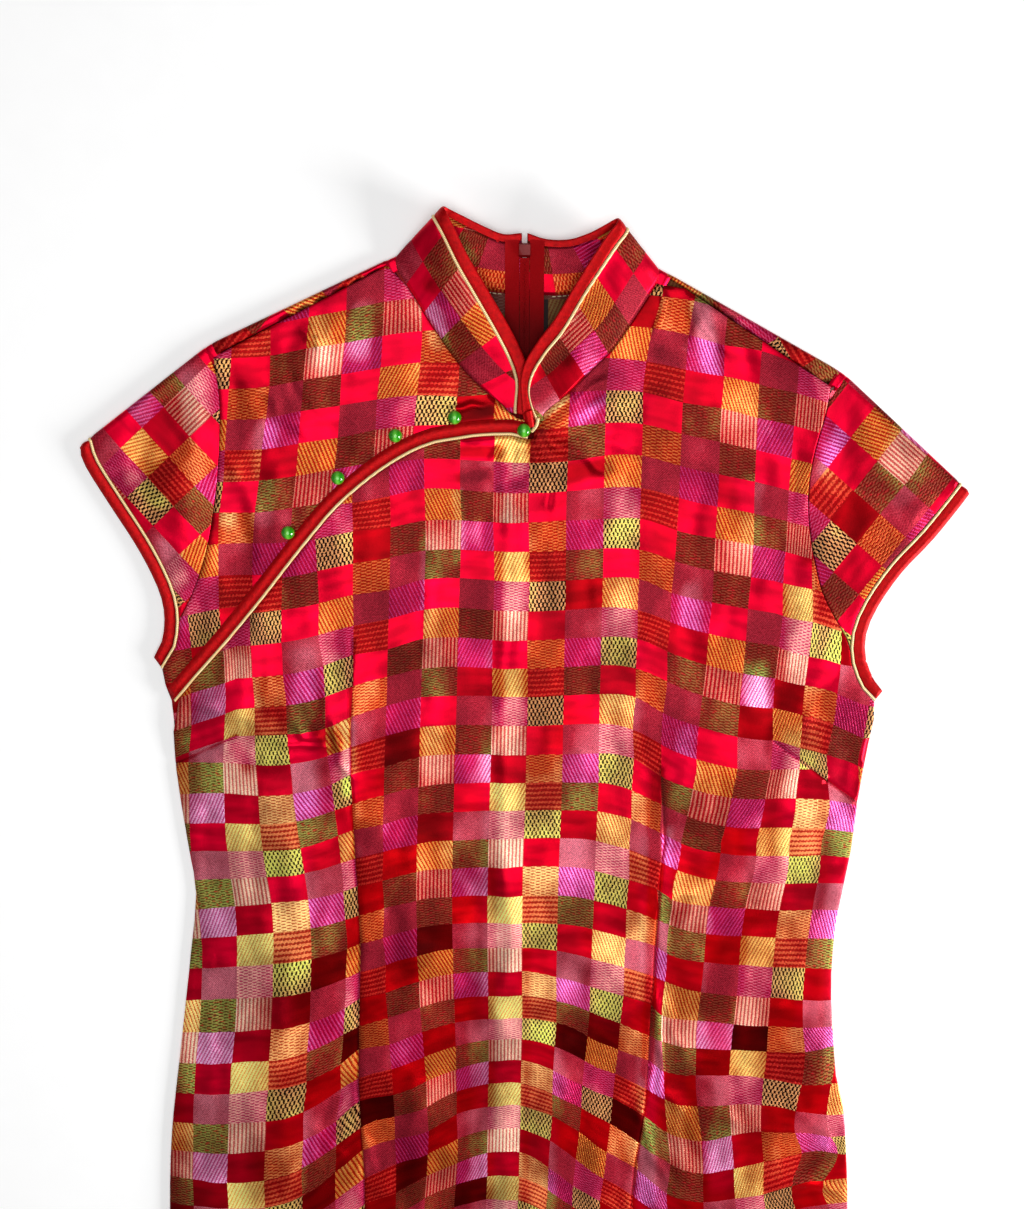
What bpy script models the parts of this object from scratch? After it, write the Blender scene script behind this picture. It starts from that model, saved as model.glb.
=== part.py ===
"""Cheongsam dress laid flat on its back, front side up.

Lengths are in millimetres. +X is to the right seen from above, +Y runs towards the
collar and +Z is up. The plan's zero is on the centre front, level with the shoulder
points of the neck. At the end the dress is moved so that its box stands on the origin.

Every brocade piece is a thin closed wall. Flat pieces are cut as outlines in the plan
and raised. Pieces that pass over a fold, such as sleeves, are cut flat as well and then
laid around the fold. The collar is lofted between its neck seam and its top edge.
"""
import math

import bmesh
import bpy
from mathutils import Vector
from mathutils.geometry import delaunay_2d_cdt

MM = 0.001

# ---------------------------------------------------------------- driving sizes
CLOTH = 1.2             # brocade with its pressed turnings
GAP = 0.3               # between neighbouring pieces
BIND_WIDTH = 7.8        # red binding, as seen from one side
BIND_WALL = 1.9
PIPE_WIDTH = 1.8        # gold piping beside the binding
FOLD_INSIDE = 1.2       # inner radius where a piece turns over
BEAD_RADIUS = 4.0
SIDE_REST = 1.5         # underside of the front where it meets the back at a side
STEP_REACH = (20.0, 46.0)   # the front rides over the underlap up to here, then sinks
UNDERLAP = 24.0         # the underlap's depth below the opening edge
NECK_CLEAR = 0.5        # from a panel's neck edge to the middle of the collar's seam
GRID = 23.0             # spacing of a panel's inner points
BEND_STEPS = 5          # facets round a folded edge
HEM_Y = -950.0

# Where panels end, in plan.
NECK_TAB_FRONT = [(6.2, -108.4), (6.2, -98.8)]    # corner of the front at the neck bead
NECK_TAB_YOKE = [(-4.0, -95.4), (5.5, -96.6)]     # corner of the underlap below it
YOKE_SIDE_Y = (-288.0, -277.0)                    # the yoke's short edge on the left side
FRONT_SIDE_TOP_Y = {-1: -270.0, 1: -292.0}        # below the sleeve trims
OPENING_LEFT_X = -252.0
UNDERLAP_X = (-246.0, 4.0)
OPENING_TRIM_CUT = dict(point=(-247.0, -272.0), normal=(0.92, 0.39))
NECK_BACK_Y = -17.5
SHOULDER_INSET = dict(neck=2.0, seam_neck=2.2, tip=2.6)   # keeps folded edges apart
SLEEVE_INSET = 2.5

FOLD_AXIS = CLOTH + FOLD_INSIDE
FOLD_ARC = math.pi * (FOLD_INSIDE + CLOTH / 2)
FRONT_LEVEL = 2 * FOLD_AXIS - CLOTH          # underside of the upper layer
STEP = CLOTH + 0.5                           # the front's extra height on the underlap
TRIM = BIND_WIDTH + GAP + PIPE_WIDTH + GAP   # from a bound edge to the brocade
FRONT_ROWS = (17.0, UNDERLAP, 32.0)          # rows of points below the opening edge
YOKE_ROWS = (-8.0, 0.0, TRIM, 17.0)
FOLD_FADE = dict(seam=34.0, hem=70.0, left_at_hem=0.2)   # folds die out towards seams
SINK = dict(reach=18.0, start=8.0, full=34.0)            # how the front meets the sides

# zip, along the centre back
ZIP_TAPE_OUT = 12.5
ZIP_COIL_HALF = 3.0
ZIP_TAPE_WALL = 1.0
ZIP_COIL_WALL = 1.4
ZIP_CLEAR = 0.55         # between the back and the zip
ZIP_TOP_Y = 16.5
ZIP_END_Y = -520.0
ZIP_SLIDER = dict(half_width=3.6, low_y=6.3, high_y=15.0, height=2.4, taper=1.2,
                  neck_half_width=1.1, neck_sink=1.5)
CENTRE_BACK_HALF_GAP = 0.4
COLLAR_BACK_HALF_GAP = 1.6
PULL = dict(length=17.5, half_width=2.6, thick=0.8, bar=0.5, eye=0.9, boss=1.6,
            window=1.4, lift=0.08)
PULL_AXIS = Vector((0.0, 9.0, 2.2))

WINE = (0.62, 0.02, 0.06)
RED = (0.60, 0.01, 0.02)
GOLD = (0.86, 0.60, 0.24)
JADE = (0.05, 0.36, 0.03)
ZIP_RED = (0.33, 0.0, 0.01)


def table(columns, *rows):
    """Rows of numbers with named columns."""
    names = columns.split()
    return [dict(zip(names, row)) for row in rows]


# ---------------------------------------------------------------- outlines, in plan
SHOULDER_LEFT = dict(fold=((-86, 6), (-205, -48)), seam=((-87.5, 1.5), (-202, -56)))
SHOULDER_RIGHT = dict(fold=((90, -2), (208, -66)), seam=((89, -4), (200, -75)))
SLEEVE_FOLD_LEFT = ((-205, -48), (-294, -113.5))
SLEEVE_FOLD_RIGHT = ((208, -66), (297, -144))

SIDE_LEFT = table(
    "y     x",
    (-257, -253), (-265, -250), (-286, -243), (-335, -243), (-361, -241), (-399, -237),
    (-432, -234), (-476, -240), (-548, -251), (-623, -262.5), (-690, -268),
    (-760, -270), (HEM_Y, -262))
SIDE_RIGHT = table(
    "y     x",
    (-281, 247), (-288, 244.5), (-319, 240), (-361, 235), (-399, 232.5), (-445, 226),
    (-476, 224), (-515, 225), (-577, 232), (-602, 238.5), (-640, 243), (-690, 247),
    (-760, 249), (HEM_Y, 243))
CUFF_LEFT = [(-294, -113.5), (-290, -127), (-275.5, -153), (-261, -178), (-251, -199),
             (-245.3, -216), (-244.2, -231), (-247, -246), (-253, -257)]
CUFF_RIGHT = [(297, -144), (274.5, -175), (255, -197.5), (240, -221.5), (233.2, -241),
              (234.3, -258.5), (241, -273.5), (247, -281)]
CUFF_END_LEAN = {-1: (-3.5, -3.5), 1: (2.5, -1.0)}   # the trim's slanted end at the side
ARMHOLE_LEFT = [(-202, -56), (-199, -83), (-202, -127), (-208.6, -166), (-215.3, -191),
                (-225, -215), (-234.5, -231)]
ARMHOLE_RIGHT = [(200, -75), (197, -94), (192, -114), (189, -134), (188.5, -148),
                 (191.4, -173.5), (197.8, -201), (204, -217), (215, -236), (223.5, -249)]
OPENING = [(4, -98.5), (-8, -96), (-21, -96.2), (-35, -97.2), (-46, -99), (-61, -101.5),
           (-72, -105.3), (-87, -112.8), (-107, -126), (-130.7, -146), (-151, -169),
           (-167, -188.5), (-183, -208.5), (-208, -238), (-228.5, -260.5), (-250, -285)]

# The collar's sections, from the centre back round to the centre front. Each row holds a
# point of the neck seam, one of the top edge and how far the wall bows out between them.
COLLAR_LEFT = table(
    "bx    by      bz    tx     ty     tz    bow",
    (-1.6, -15.3, 0.65, -1.7, 21.0, 6.6, 0),
    (-20, -14.3, 0.65, -14, 20.5, 6.4, 0),
    (-45, -9.0, 0.65, -27, 25.5, 8.4, 0),
    (-66, -2.0, 0.65, -39, 31.0, 10.8, 0),
    (-79, 2.6, 0.75, -46.5, 34.4, 13.2, 0),
    (-84, 4.2, 2.4, -50.5, 36.0, 17, 0.4),
    (-80.5, -2.0, 4.2, -49, 32.5, 20.5, 0.8),
    (-74.5, -11.5, 4.2, -44.5, 24, 21, 1.2),
    (-65, -26.6, 4.2, -36, 7, 20, 1.6),
    (-54.3, -42.9, 4.2, -24, -13, 17, 1.6),
    (-42.5, -59.5, 4.2, -10.4, -35.8, 13, 1.6),
    (-32.6, -70.5, 4.2, -1.0, -54, 9.4, 1.2),
    (-22.5, -79.5, 4.2, 3.0, -67, 7.4, 0.6),
    (-14.5, -86.0, 4.2, 3.0, -80, 6.4, 0.2),
    (-9.6, -91.0, 4.2, 3.0, -94, 5.4, 0))
COLLAR_RIGHT = table(
    "bx    by      bz    tx     ty     tz    bow",
    (1.6, -15.3, 0.65, 1.7, 21.0, 6.6, 0),
    (20, -16.5, 0.65, 14, 17.4, 6.0, 0),
    (45, -13.5, 0.65, 28, 17, 8.4, 0),
    (66, -8.5, 0.65, 40, 20.3, 11.6, 0),
    (81, -4.6, 0.75, 49, 24.5, 15, 0),
    (87.5, -3.4, 2.4, 57, 28.5, 19, 0.4),
    (84.5, -9.6, 4.2, 57.3, 26.0, 22.5, 0.8),
    (80, -16.5, 4.2, 51, 18, 22.5, 1.2),
    (67.6, -35.7, 4.2, 39.3, 0.7, 21, 1.6),
    (57.5, -50, 4.2, 31.4, -11.9, 19.5, 1.6),
    (43, -64.4, 4.4, 19.3, -31.8, 17, 1.6),
    (28.4, -79, 5.2, 9.1, -45, 15, 1.2),
    (18, -87, 5.7, 0.9, -58.2, 13.4, 0.6),
    (13, -91.5, 5.7, -2.3, -69.5, 12.2, 0.2),
    (12, -94, 5.7, -1.8, -82, 11, 0),
    (12.4, -96.4, 6.0, -0.4, -96.4, 9.6, 0))


# Soft folds and fullness of the upper layer: a line in the plan, how far it spreads to
# each side and how high it stands.
FOLDS = table(
    "x0    y0    x1    y1    spread  rise",
    (0, -250, 0, -860, 165, 3.0),        # fullness of the body
    (-4, -330, -10, -950, 22, 5.0),      # ridge down the middle
    (-78, -400, -84, -950, 17, 2.6),
    (-166, -300, -188, -950, 30, 4.4),
    (60, -380, 64, -950, 18, 3.4),
    (150, -300, 172, -950, 30, 4.6),
    (-118, -262, -118, -300, 42, 4.5),   # bust
    (98, -262, 98, -300, 42, 4.5),
    (118, -36, 150, -190, 13, 2.4),      # chest
    (-150, -62, -160, -122, 13, 1.8),
    (60, -110, 74, -230, 15, 1.8),
    (-238, -120, -224, -172, 14, 1.8),   # sleeves
    (246, -140, 212, -188, 14, 1.8))
BEADS = table(
    "x      y     over_front",
    (-0.3, -102.6, 1),
    (-45.4, -94.3, 0),
    (-84.2, -106.0, 0),
    (-122.6, -133.6, 0),
    (-156.8, -170.0, 0))


# ---------------------------------------------------------------- plan geometry
def vectors(points):
    return [Vector(p) for p in points]


def curve_point(a, b, c, d, t):
    """A point between b and c on the smooth curve through a, b, c and d."""
    return 0.5 * (2 * b + t * (c - a) + t * t * (2 * a - 5 * b + 4 * c - d)
                  + t ** 3 * (3 * b - a - 3 * c + d))


def smooth_path(points, spacing):
    """Points about a spacing apart on a smooth curve through the given ones."""
    pts = vectors(points)
    pts = [2 * pts[0] - pts[1]] + pts + [2 * pts[-1] - pts[-2]]
    out = []
    for a, b, c, d in zip(pts, pts[1:], pts[2:], pts[3:]):
        steps = max(1, round((c - b).length / spacing))
        out += [curve_point(a, b, c, d, i / steps) for i in range(steps)]
    return out + [pts[-2]]


def offset_path(path, distance):
    """The path moved to its left by a distance, point for point."""
    out = []
    for i, p in enumerate(path):
        before = (p - path[i - 1]).normalized() if i else None
        after = (path[i + 1] - p).normalized() if i + 1 < len(path) else None
        run = ((before or after) + (after or before)).normalized()
        lean = run.dot(after or before)
        out.append(p + Vector((-run.y, run.x)) * (distance / max(lean, 0.5)))
    return out


def cut_loop(loop, point, normal):
    """The part of a closed loop on the normal's side of a line."""
    point, normal = Vector(point), Vector(normal)
    out = []
    for a, b in zip(loop, loop[1:] + loop[:1]):
        da, db = (a - point).dot(normal), (b - point).dot(normal)
        if da >= 0:
            out.append(a)
        if da * db < 0:
            out.append(a.lerp(b, da / (da - db)))
    return out


def trim_path(side, depth):
    """A cuff's edge moved inwards, with the slanted end that it has at the side seam."""
    path = offset_path(CUFFS[side], -side * depth)
    path[-1] = path[-1] + Vector(CUFF_END_LEAN[side]) * (depth / TRIM)
    return path


def line_distance(p, a, b):
    """Distance from a point to a straight stretch."""
    run = b - a
    t = max(0.0, min(1.0, (p - a).dot(run) / run.length_squared))
    return (p - a - run * t).length


def path_distance(p, path):
    return min(line_distance(p, a, b) for a, b in zip(path, path[1:]))


def smoothstep(low, high, value):
    t = max(0.0, min(1.0, (value - low) / (high - low)))
    return t * t * (3 - 2 * t)


def inside(p, loop):
    """Whether a point lies in a closed loop."""
    hit = False
    for a, b in zip(loop, loop[1:] + loop[:1]):
        if (a.y > p.y) != (b.y > p.y) and p.x < a.x + (p.y - a.y) / (b.y - a.y) * (b.x - a.x):
            hit = not hit
    return hit


def tidy_loop(loop, least=0.35):
    """A loop without points that nearly coincide."""
    out = []
    for p in loop:
        if not out or (p - out[-1]).length > least:
            out.append(p)
    if (out[0] - out[-1]).length <= least:
        out.pop()
    return out


# ---------------------------------------------------------------- shared curves
def side_path(rows, spacing=20.0):
    return smooth_path([(row["x"], row["y"]) for row in rows], spacing)


def neck_path(rows, first, last):
    """The neck seam in plan, along some of a collar's sections."""
    return smooth_path([(row["bx"], row["by"]) for row in rows[first:last]], 9.0)


SIDES = {-1: side_path(SIDE_LEFT), 1: side_path(SIDE_RIGHT)}
CUFFS = {-1: smooth_path(CUFF_LEFT, 9.0), 1: smooth_path(CUFF_RIGHT, 9.0)}
TRIM_EDGES = {side: trim_path(side, TRIM) for side in CUFFS}
ARMHOLES = {-1: smooth_path(ARMHOLE_LEFT, 10.0), 1: smooth_path(ARMHOLE_RIGHT, 10.0)}
# The vertex of the trim's inner edge where each armhole seam ends.
JOINTS = {side: min(range(len(edge)), key=lambda i: (edge[i] - ARMHOLES[side][-1]).length)
          for side, edge in TRIM_EDGES.items()}
for side, joint in JOINTS.items():
    ARMHOLES[side][-1] = TRIM_EDGES[side][joint]
OPENING_EDGE = smooth_path(OPENING, 9.0)
SHOULDERS = {-1: SHOULDER_LEFT, 1: SHOULDER_RIGHT}
SLEEVE_FOLDS = {-1: SLEEVE_FOLD_LEFT, 1: SLEEVE_FOLD_RIGHT}
COLLARS = {-1: COLLAR_LEFT, 1: COLLAR_RIGHT}
NAMES = {-1: "left", 1: "right"}
SHOULDER_SECTION = 5    # the collar section on the shoulder fold


def front_rise(p):
    """Height of the upper layer's underside above its level at the seams."""
    rise = 0.0
    for row in FOLDS:
        a, b = Vector((row["x0"], row["y0"])), Vector((row["x1"], row["y1"]))
        rise += row["rise"] * math.exp(-(line_distance(p, a, b) / row["spread"]) ** 2)
    edges = [SIDES[-1][1:], SIDES[1][1:], CUFFS[-1], CUFFS[1],
             vectors(SLEEVE_FOLDS[-1]), vectors(SLEEVE_FOLDS[1]),
             vectors(SHOULDERS[-1]["seam"]), vectors(SHOULDERS[1]["seam"]),
             NECK_SEAMS[-1], NECK_SEAMS[1]]
    near = min(path_distance(p, edge) for edge in edges)
    left = FOLD_FADE["left_at_hem"]
    rise *= left + (1 - left) * smoothstep(HEM_Y, HEM_Y + FOLD_FADE["hem"], p.y)
    rise *= smoothstep(0.0, FOLD_FADE["seam"], near)
    sink = 0.0
    for side, path in SIDES.items():
        drop = smoothstep(SINK["reach"], 0.0, path_distance(p, path[2:]))
        low, high = path[0].y - SINK["start"], path[0].y - SINK["full"]
        sink = max(sink, drop * smoothstep(low, high, p.y))
    return rise - sink * (FRONT_LEVEL - SIDE_REST)


def front_step(p):
    """Extra height of the front where it lies over the underlap."""
    return STEP * (1 - smoothstep(*STEP_REACH, path_distance(p, OPENING_EDGE)))


NECK_SEAMS = {side: neck_path(rows, SHOULDER_SECTION + 1, None)
              for side, rows in COLLARS.items()}


# ---------------------------------------------------------------- mesh making
def material(name, colour, roughness, metallic=0.0):
    mat = bpy.data.materials.get(name) or bpy.data.materials.new(name)
    mat.use_nodes = True
    shader = mat.node_tree.nodes["Principled BSDF"]
    shader.inputs["Base Color"].default_value = (*colour, 1.0)
    shader.inputs["Roughness"].default_value = roughness
    shader.inputs["Metallic"].default_value = metallic
    return mat


def add_object(name, verts, faces, look, smooth=True):
    """A closed mesh object from points in millimetres."""
    mesh = bpy.data.meshes.new(name)
    mesh.from_pydata([tuple(c * MM for c in v) for v in verts], [], faces)
    bm = bmesh.new()
    bm.from_mesh(mesh)
    bmesh.ops.recalc_face_normals(bm, faces=bm.faces)
    bmesh.ops.triangulate(bm, faces=bm.faces)
    bm.to_mesh(mesh)
    bm.free()
    if smooth:
        mesh.shade_smooth()
        mesh.set_sharp_from_angle(angle=math.radians(40))
    mesh.materials.append(material(f"{name}_look", *look))
    obj = bpy.data.objects.new(name, mesh)
    bpy.context.scene.collection.objects.link(obj)
    return obj


def grid_points(loop, others):
    """Evenly spaced points inside a loop, clear of its edge and of other points."""
    low_x, high_x = min(p.x for p in loop), max(p.x for p in loop)
    low_y, high_y = min(p.y for p in loop), max(p.y for p in loop)
    closed = loop + loop[:1]
    out = []
    for j in range(int((high_y - low_y) / GRID) + 1):
        for i in range(int((high_x - low_x) / GRID) + 1):
            p = Vector((low_x + (i + 0.5 * (j % 2)) * GRID, low_y + j * GRID))
            if not inside(p, loop) or path_distance(p, closed) < 0.5 * GRID:
                continue
            if any((p - q).length < 0.55 * GRID for q in others):
                continue
            out.append(p)
    return out


def cut_wall(name, loop, place, wall, look, points=(), lines=()):
    """Triangulate a flat cut and raise it to a closed wall with place(point, depth)."""
    verts = list(loop)
    edges = []
    for line in lines:
        first = len(verts)
        verts += line[1:-1]
        chain = [loop.index(line[0]), *range(first, len(verts)), loop.index(line[-1])]
        edges += list(zip(chain, chain[1:]))
    verts += list(points)
    flat, _, tris, *_ = delaunay_2d_cdt(verts, edges, [list(range(len(loop)))], 1, 1e-4)
    count = len(flat)
    solid = [place(p, 0.0) for p in flat] + [place(p, wall) for p in flat]
    faces = []
    border = {}
    for a, b, c in tris:
        faces += [(c, b, a), (a + count, b + count, c + count)]
        for edge in ((a, b), (b, c), (c, a)):
            border.pop(edge[::-1], None) or border.update({edge: True})
    faces += [(a, b, b + count, a + count) for a, b in border]
    return add_object(name, solid, faces, look)


def on_front(p, depth, level=FRONT_LEVEL):
    """A point of a piece of the upper layer, a depth above its underside."""
    return Vector((p.x, p.y, level + front_rise(p) + depth))


def over_underlap(p, depth):
    return on_front(p, depth, FRONT_LEVEL + front_step(p))


# ---------------------------------------------------------------- folded pieces
class Fold:
    """A straight fold: plan points of either layer to places in the flat cut and back."""

    def __init__(self, line, within):
        a, b = vectors(line)
        self.run = (b - a).normalized()
        self.inward = Vector((-self.run.y, self.run.x))
        if (Vector(within) - a).dot(self.inward) < 0:
            self.inward = -self.inward
        self.start = a + self.inward * FOLD_AXIS

    def along(self, p):
        return (p - self.start).dot(self.run)

    def lower(self, p):
        return Vector((self.along(p), -max(0.0, (p - self.start).dot(self.inward))))

    def upper(self, p):
        return Vector((self.along(p), FOLD_ARC + max(0.0, (p - self.start).dot(self.inward))))

    def plan(self, flat):
        away = -flat.y if flat.y < 0 else max(0.0, flat.y - FOLD_ARC)
        return self.start + self.run * flat.x + self.inward * away

    def place(self, flat, depth):
        """Depth is measured from the outer face inwards."""
        p = self.plan(flat)
        if flat.y <= 0:
            return Vector((p.x, p.y, depth))
        if flat.y >= FOLD_ARC:
            return Vector((p.x, p.y, 2 * FOLD_AXIS - depth + front_rise(p)))
        angle = math.pi * flat.y / FOLD_ARC
        reach = FOLD_AXIS - depth
        p = p - self.inward * (reach * math.sin(angle))
        return Vector((p.x, p.y, FOLD_AXIS - reach * math.cos(angle)))

    def bend(self, low, high):
        """Points of the flat cut from the lower layer round to the upper one."""
        return [low.lerp(high, i / BEND_STEPS) for i in range(BEND_STEPS + 1)]


def folded_wall(name, fold, under, over, wall, look, fill=False):
    """A piece laid around a fold. Both plan paths run from one end of the fold to the other."""
    low = [fold.lower(p) for p in under]
    high = [fold.upper(p) for p in over]
    low[0].y = low[-1].y = 0.0
    high[0].y = high[-1].y = FOLD_ARC
    start = fold.bend(low[0], high[0])
    end = fold.bend(low[-1], high[-1])
    loop = tidy_loop(low + end[1:-1] + high[::-1] + start[1:-1][::-1])
    lines = []
    for a, b in zip(start, end):
        a = min(loop, key=lambda q: (q - a).length)
        b = min(loop, key=lambda q: (q - b).length)
        steps = max(1, round((b - a).length / GRID))
        lines.append([a] + [a.lerp(b, i / steps) for i in range(1, steps)] + [b])
    points = []
    if fill:
        points = [p for p in grid_points(loop, []) if p.y > FOLD_ARC + 0.4 * GRID]
    return cut_wall(name, loop, fold.place, wall, look, points, lines)


# ---------------------------------------------------------------- panels
BROCADE = (WINE, 0.45)


def opening_loop(near, far):
    """The strip between two depths below the opening edge, cut off at the side seam."""
    upper, lower = offset_path(OPENING_EDGE, near), offset_path(OPENING_EDGE, far)
    return tidy_loop(cut_loop(upper + lower[::-1], **OPENING_TRIM_CUT))


def front_main():
    top = offset_path(OPENING_EDGE, TRIM)
    neck = offset_path(NECK_SEAMS[1], NECK_CLEAR)
    seam = vectors(SHOULDERS[1]["seam"])
    shoulder = [seam[0].lerp(seam[1], i / 8) for i in range(9)]
    cuff = TRIM_EDGES[1][JOINTS[1] + 1:]
    side = [p for p in SIDES[1] if p.y < FRONT_SIDE_TOP_Y[1]]
    left_end, right_end = SIDES[-1][-1], SIDES[1][-1]
    steps = round((right_end - left_end).length / GRID)
    hem = [right_end.lerp(left_end, i / steps) for i in range(1, steps)]
    left = [p for p in SIDES[-1][::-1] if p.y < FRONT_SIDE_TOP_Y[-1]]
    top = [p for p in top[::-1] if p.x > OPENING_LEFT_X] + vectors(NECK_TAB_FRONT)
    loop = top + neck[::-1] + shoulder[1:] + ARMHOLES[1][1:] + cuff + side + hem + left
    loop = tidy_loop(cut_corner(loop))
    points = overlap_points(loop, FRONT_ROWS) + fold_points(loop)
    return cut_wall("front_main", loop, over_underlap, CLOTH, BROCADE,
                    points + grid_points(loop, points))


def cut_corner(loop):
    """Drop what the loop's start and end leave beyond each other at the left side."""
    start = next(i for i, p in enumerate(loop) if p.x > side_x(-1, p.y) + 1.0)
    end = max(i for i, p in enumerate(loop) if p.y < loop[start].y - 6.0)
    return loop[start:end + 1]


def side_x(side, y):
    """Where a side seam lies at a height in the plan."""
    path = SIDES[side]
    for a, b in zip(path, path[1:]):
        if b.y <= y <= a.y:
            return a.x + (y - a.y) / (b.y - a.y) * (b.x - a.x)
    return path[0].x


def overlap_points(loop, depths):
    """Points at set depths below the opening edge, alike in both layers."""
    closed = loop + loop[:1]
    return [p for depth in depths for p in offset_path(OPENING_EDGE, depth)
            if inside(p, loop) and path_distance(p, closed) > 3.0]


def fold_points(loop):
    """Points along each narrow fold, on its crest and at both feet."""
    closed = loop + loop[:1]
    out = []
    for row in FOLDS:
        if row["spread"] > 35:
            continue
        a, b = Vector((row["x0"], row["y0"])), Vector((row["x1"], row["y1"]))
        across = Vector((-(b - a).y, (b - a).x)).normalized() * row["spread"] * 0.8
        steps = max(1, round((b - a).length / GRID))
        for i in range(steps + 1):
            for shift in (-1, 0, 1):
                p = a.lerp(b, i / steps) + across * shift
                near = any((p - q).length < 0.5 * GRID for q in out)
                clear = min(path_distance(p, closed), path_distance(p, OPENING_EDGE) - UNDERLAP)
                if inside(p, loop) and clear > 0.4 * GRID and not near:
                    out.append(p)
    return out


def front_yoke():
    armhole = ARMHOLES[-1]
    cuff = TRIM_EDGES[-1][JOINTS[-1] + 1:]
    seam = vectors(SHOULDERS[-1]["seam"])
    shoulder = [seam[1].lerp(seam[0], i / 8) for i in range(9)]
    neck = offset_path(NECK_SEAMS[-1], -NECK_CLEAR)
    left_x, right_x = UNDERLAP_X
    low = [p for p in offset_path(OPENING_EDGE, UNDERLAP) if left_x < p.x < right_x]
    low = low + [Vector((side_x(-1, low[-1].y - 2) + 0.6, low[-1].y - 2))]
    side = [Vector((side_x(-1, y), y)) for y in YOKE_SIDE_Y]
    loop = low + side + cuff[::-1] + armhole[::-1][:-1] + shoulder + neck[1:]
    loop = tidy_loop(loop + vectors(NECK_TAB_YOKE))
    points = overlap_points(loop, YOKE_ROWS) + fold_points(loop)
    return cut_wall("front_yoke", loop, on_front, CLOTH, BROCADE,
                    points + grid_points(loop, points))


def back_half(side):
    """One half of the back, with its shoulder turned over to the front."""
    fold = Fold(SHOULDERS[side]["fold"], (0, -300))
    rows = COLLARS[side]
    neck = offset_path(neck_path(rows, 0, SHOULDER_SECTION), side * -NECK_CLEAR)
    ends = [Vector(p) for p in SHOULDERS[side]["fold"]]
    seam = [Vector(p) for p in SHOULDERS[side]["seam"]]
    inset = SHOULDER_INSET
    start = fold.plan(Vector((fold.along(ends[0]) + inset["neck"], 0.0)))
    stop = fold.plan(Vector((fold.along(ends[1]) - inset["tip"], 0.0)))
    centre = [Vector((side * CENTRE_BACK_HALF_GAP, y)) for y in (NECK_BACK_Y, HEM_Y)]
    armhole = [p for p in ARMHOLES[side] if p.y < stop.y - 6]
    cuff = TRIM_EDGES[side][JOINTS[side] + 1:]
    below = [p for p in SIDES[side][::-1] if p.y < cuff[-1].y - 4]
    under = [start] + neck[1:-1][::-1] + centre + below
    under += cuff[::-1] + armhole[::-1] + [stop]
    over = [start, seam[0] + fold.run * inset["seam_neck"] - fold.inward * GAP,
            seam[1] - fold.run * inset["tip"] - fold.inward * GAP, stop]
    return folded_wall(f"back_{NAMES[side]}", fold, under, over, CLOTH, BROCADE)


def sleeve(side):
    """A cap sleeve, cut in one and folded along its top."""
    fold = Fold(SLEEVE_FOLDS[side], (0, -200))
    armhole = offset_path(ARMHOLES[side], side * GAP)[1:-1]
    hem = [p for p in TRIM_EDGES[side][:JOINTS[side]] if fold.lower(p).y < -6]
    hem.append(hem[-1].lerp(TRIM_EDGES[side][JOINTS[side]], 0.85))
    start = fold.plan(Vector((SLEEVE_INSET, 0.0)))
    stop = fold.plan(Vector((fold.along(Vector(SLEEVE_FOLDS[side][1])) - TRIM, 0.0)))
    path = [start] + armhole + hem[::-1] + [stop]
    return folded_wall(f"sleeve_{NAMES[side]}", fold, path, path, CLOTH, BROCADE, fill=True)


def sleeve_trim(kind, side, near, far, look):
    """A strip along the cuff and the bare underarm, on both layers."""
    fold = Fold(SLEEVE_FOLDS[side], (0, -200))
    outer, inner = trim_path(side, near), trim_path(side, far)
    tip = fold.along(Vector(SLEEVE_FOLDS[side][1]))
    ends = [fold.plan(Vector((tip - near, 0.0))), fold.plan(Vector((tip - far, 0.0)))]
    outer = [p for p in outer if fold.lower(p).y < -2.0]
    inner = [p for p in inner if fold.lower(p).y < -2.0]
    path = [ends[0]] + outer + inner[::-1] + [ends[1]]
    return folded_wall(f"{kind}_sleeve_{NAMES[side]}", fold, path, path, BIND_WALL, look)


def opening_trim(name, near, far, look):
    return cut_wall(name, opening_loop(near, far), over_underlap, BIND_WALL, look)


# ---------------------------------------------------------------- collar
def sections(rows):
    """Seam point, top point and bow at matching places round the collar."""
    keys = ("bx", "by", "bz", "tx", "ty", "tz", "bow")
    pts = [Vector([row[k] for k in keys]) for row in rows]
    pts = [2 * pts[0] - pts[1]] + pts + [2 * pts[-1] - pts[-2]]
    out = []
    for a, b, c, d in zip(pts, pts[1:], pts[2:], pts[3:]):
        for t in (0.0, 0.5):
            out.append(curve_point(a, b, c, d, t))
    out.append(pts[-2])
    return [(Vector(p[:3]), Vector(p[3:6]), p[6]) for p in out]


def collar_wall(name, side, from_top, to_top, wall, look, steps=1):
    """A band of the collar between two distances from its top edge. None is the seam."""
    rings = sections(COLLARS[side])
    grid = []
    for i, (base, top, bow) in enumerate(rings):
        before, after = rings[max(i - 1, 0)], rings[min(i + 1, len(rings) - 1)]
        height = (top - base).length
        low = 0.0 if to_top is None else max(0.0, 1 - to_top / height)
        high = 1 - from_top / height
        column = []
        for j in range(steps + 1):
            w = low + (high - low) * j / steps
            run = after[0].lerp(after[1], w) - before[0].lerp(before[1], w)
            out = (top - base).cross(run).normalized() * side
            column.append((base.lerp(top, w) + out * (bow * 4 * w * (1 - w)), out))
        grid.append(column)
    verts = [m + n * (wall / 2) for column in grid for m, n in column]
    verts += [m - n * (wall / 2) for column in grid for m, n in column]
    return add_object(name, verts, shell_faces(len(grid), steps + 1), look)


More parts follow.
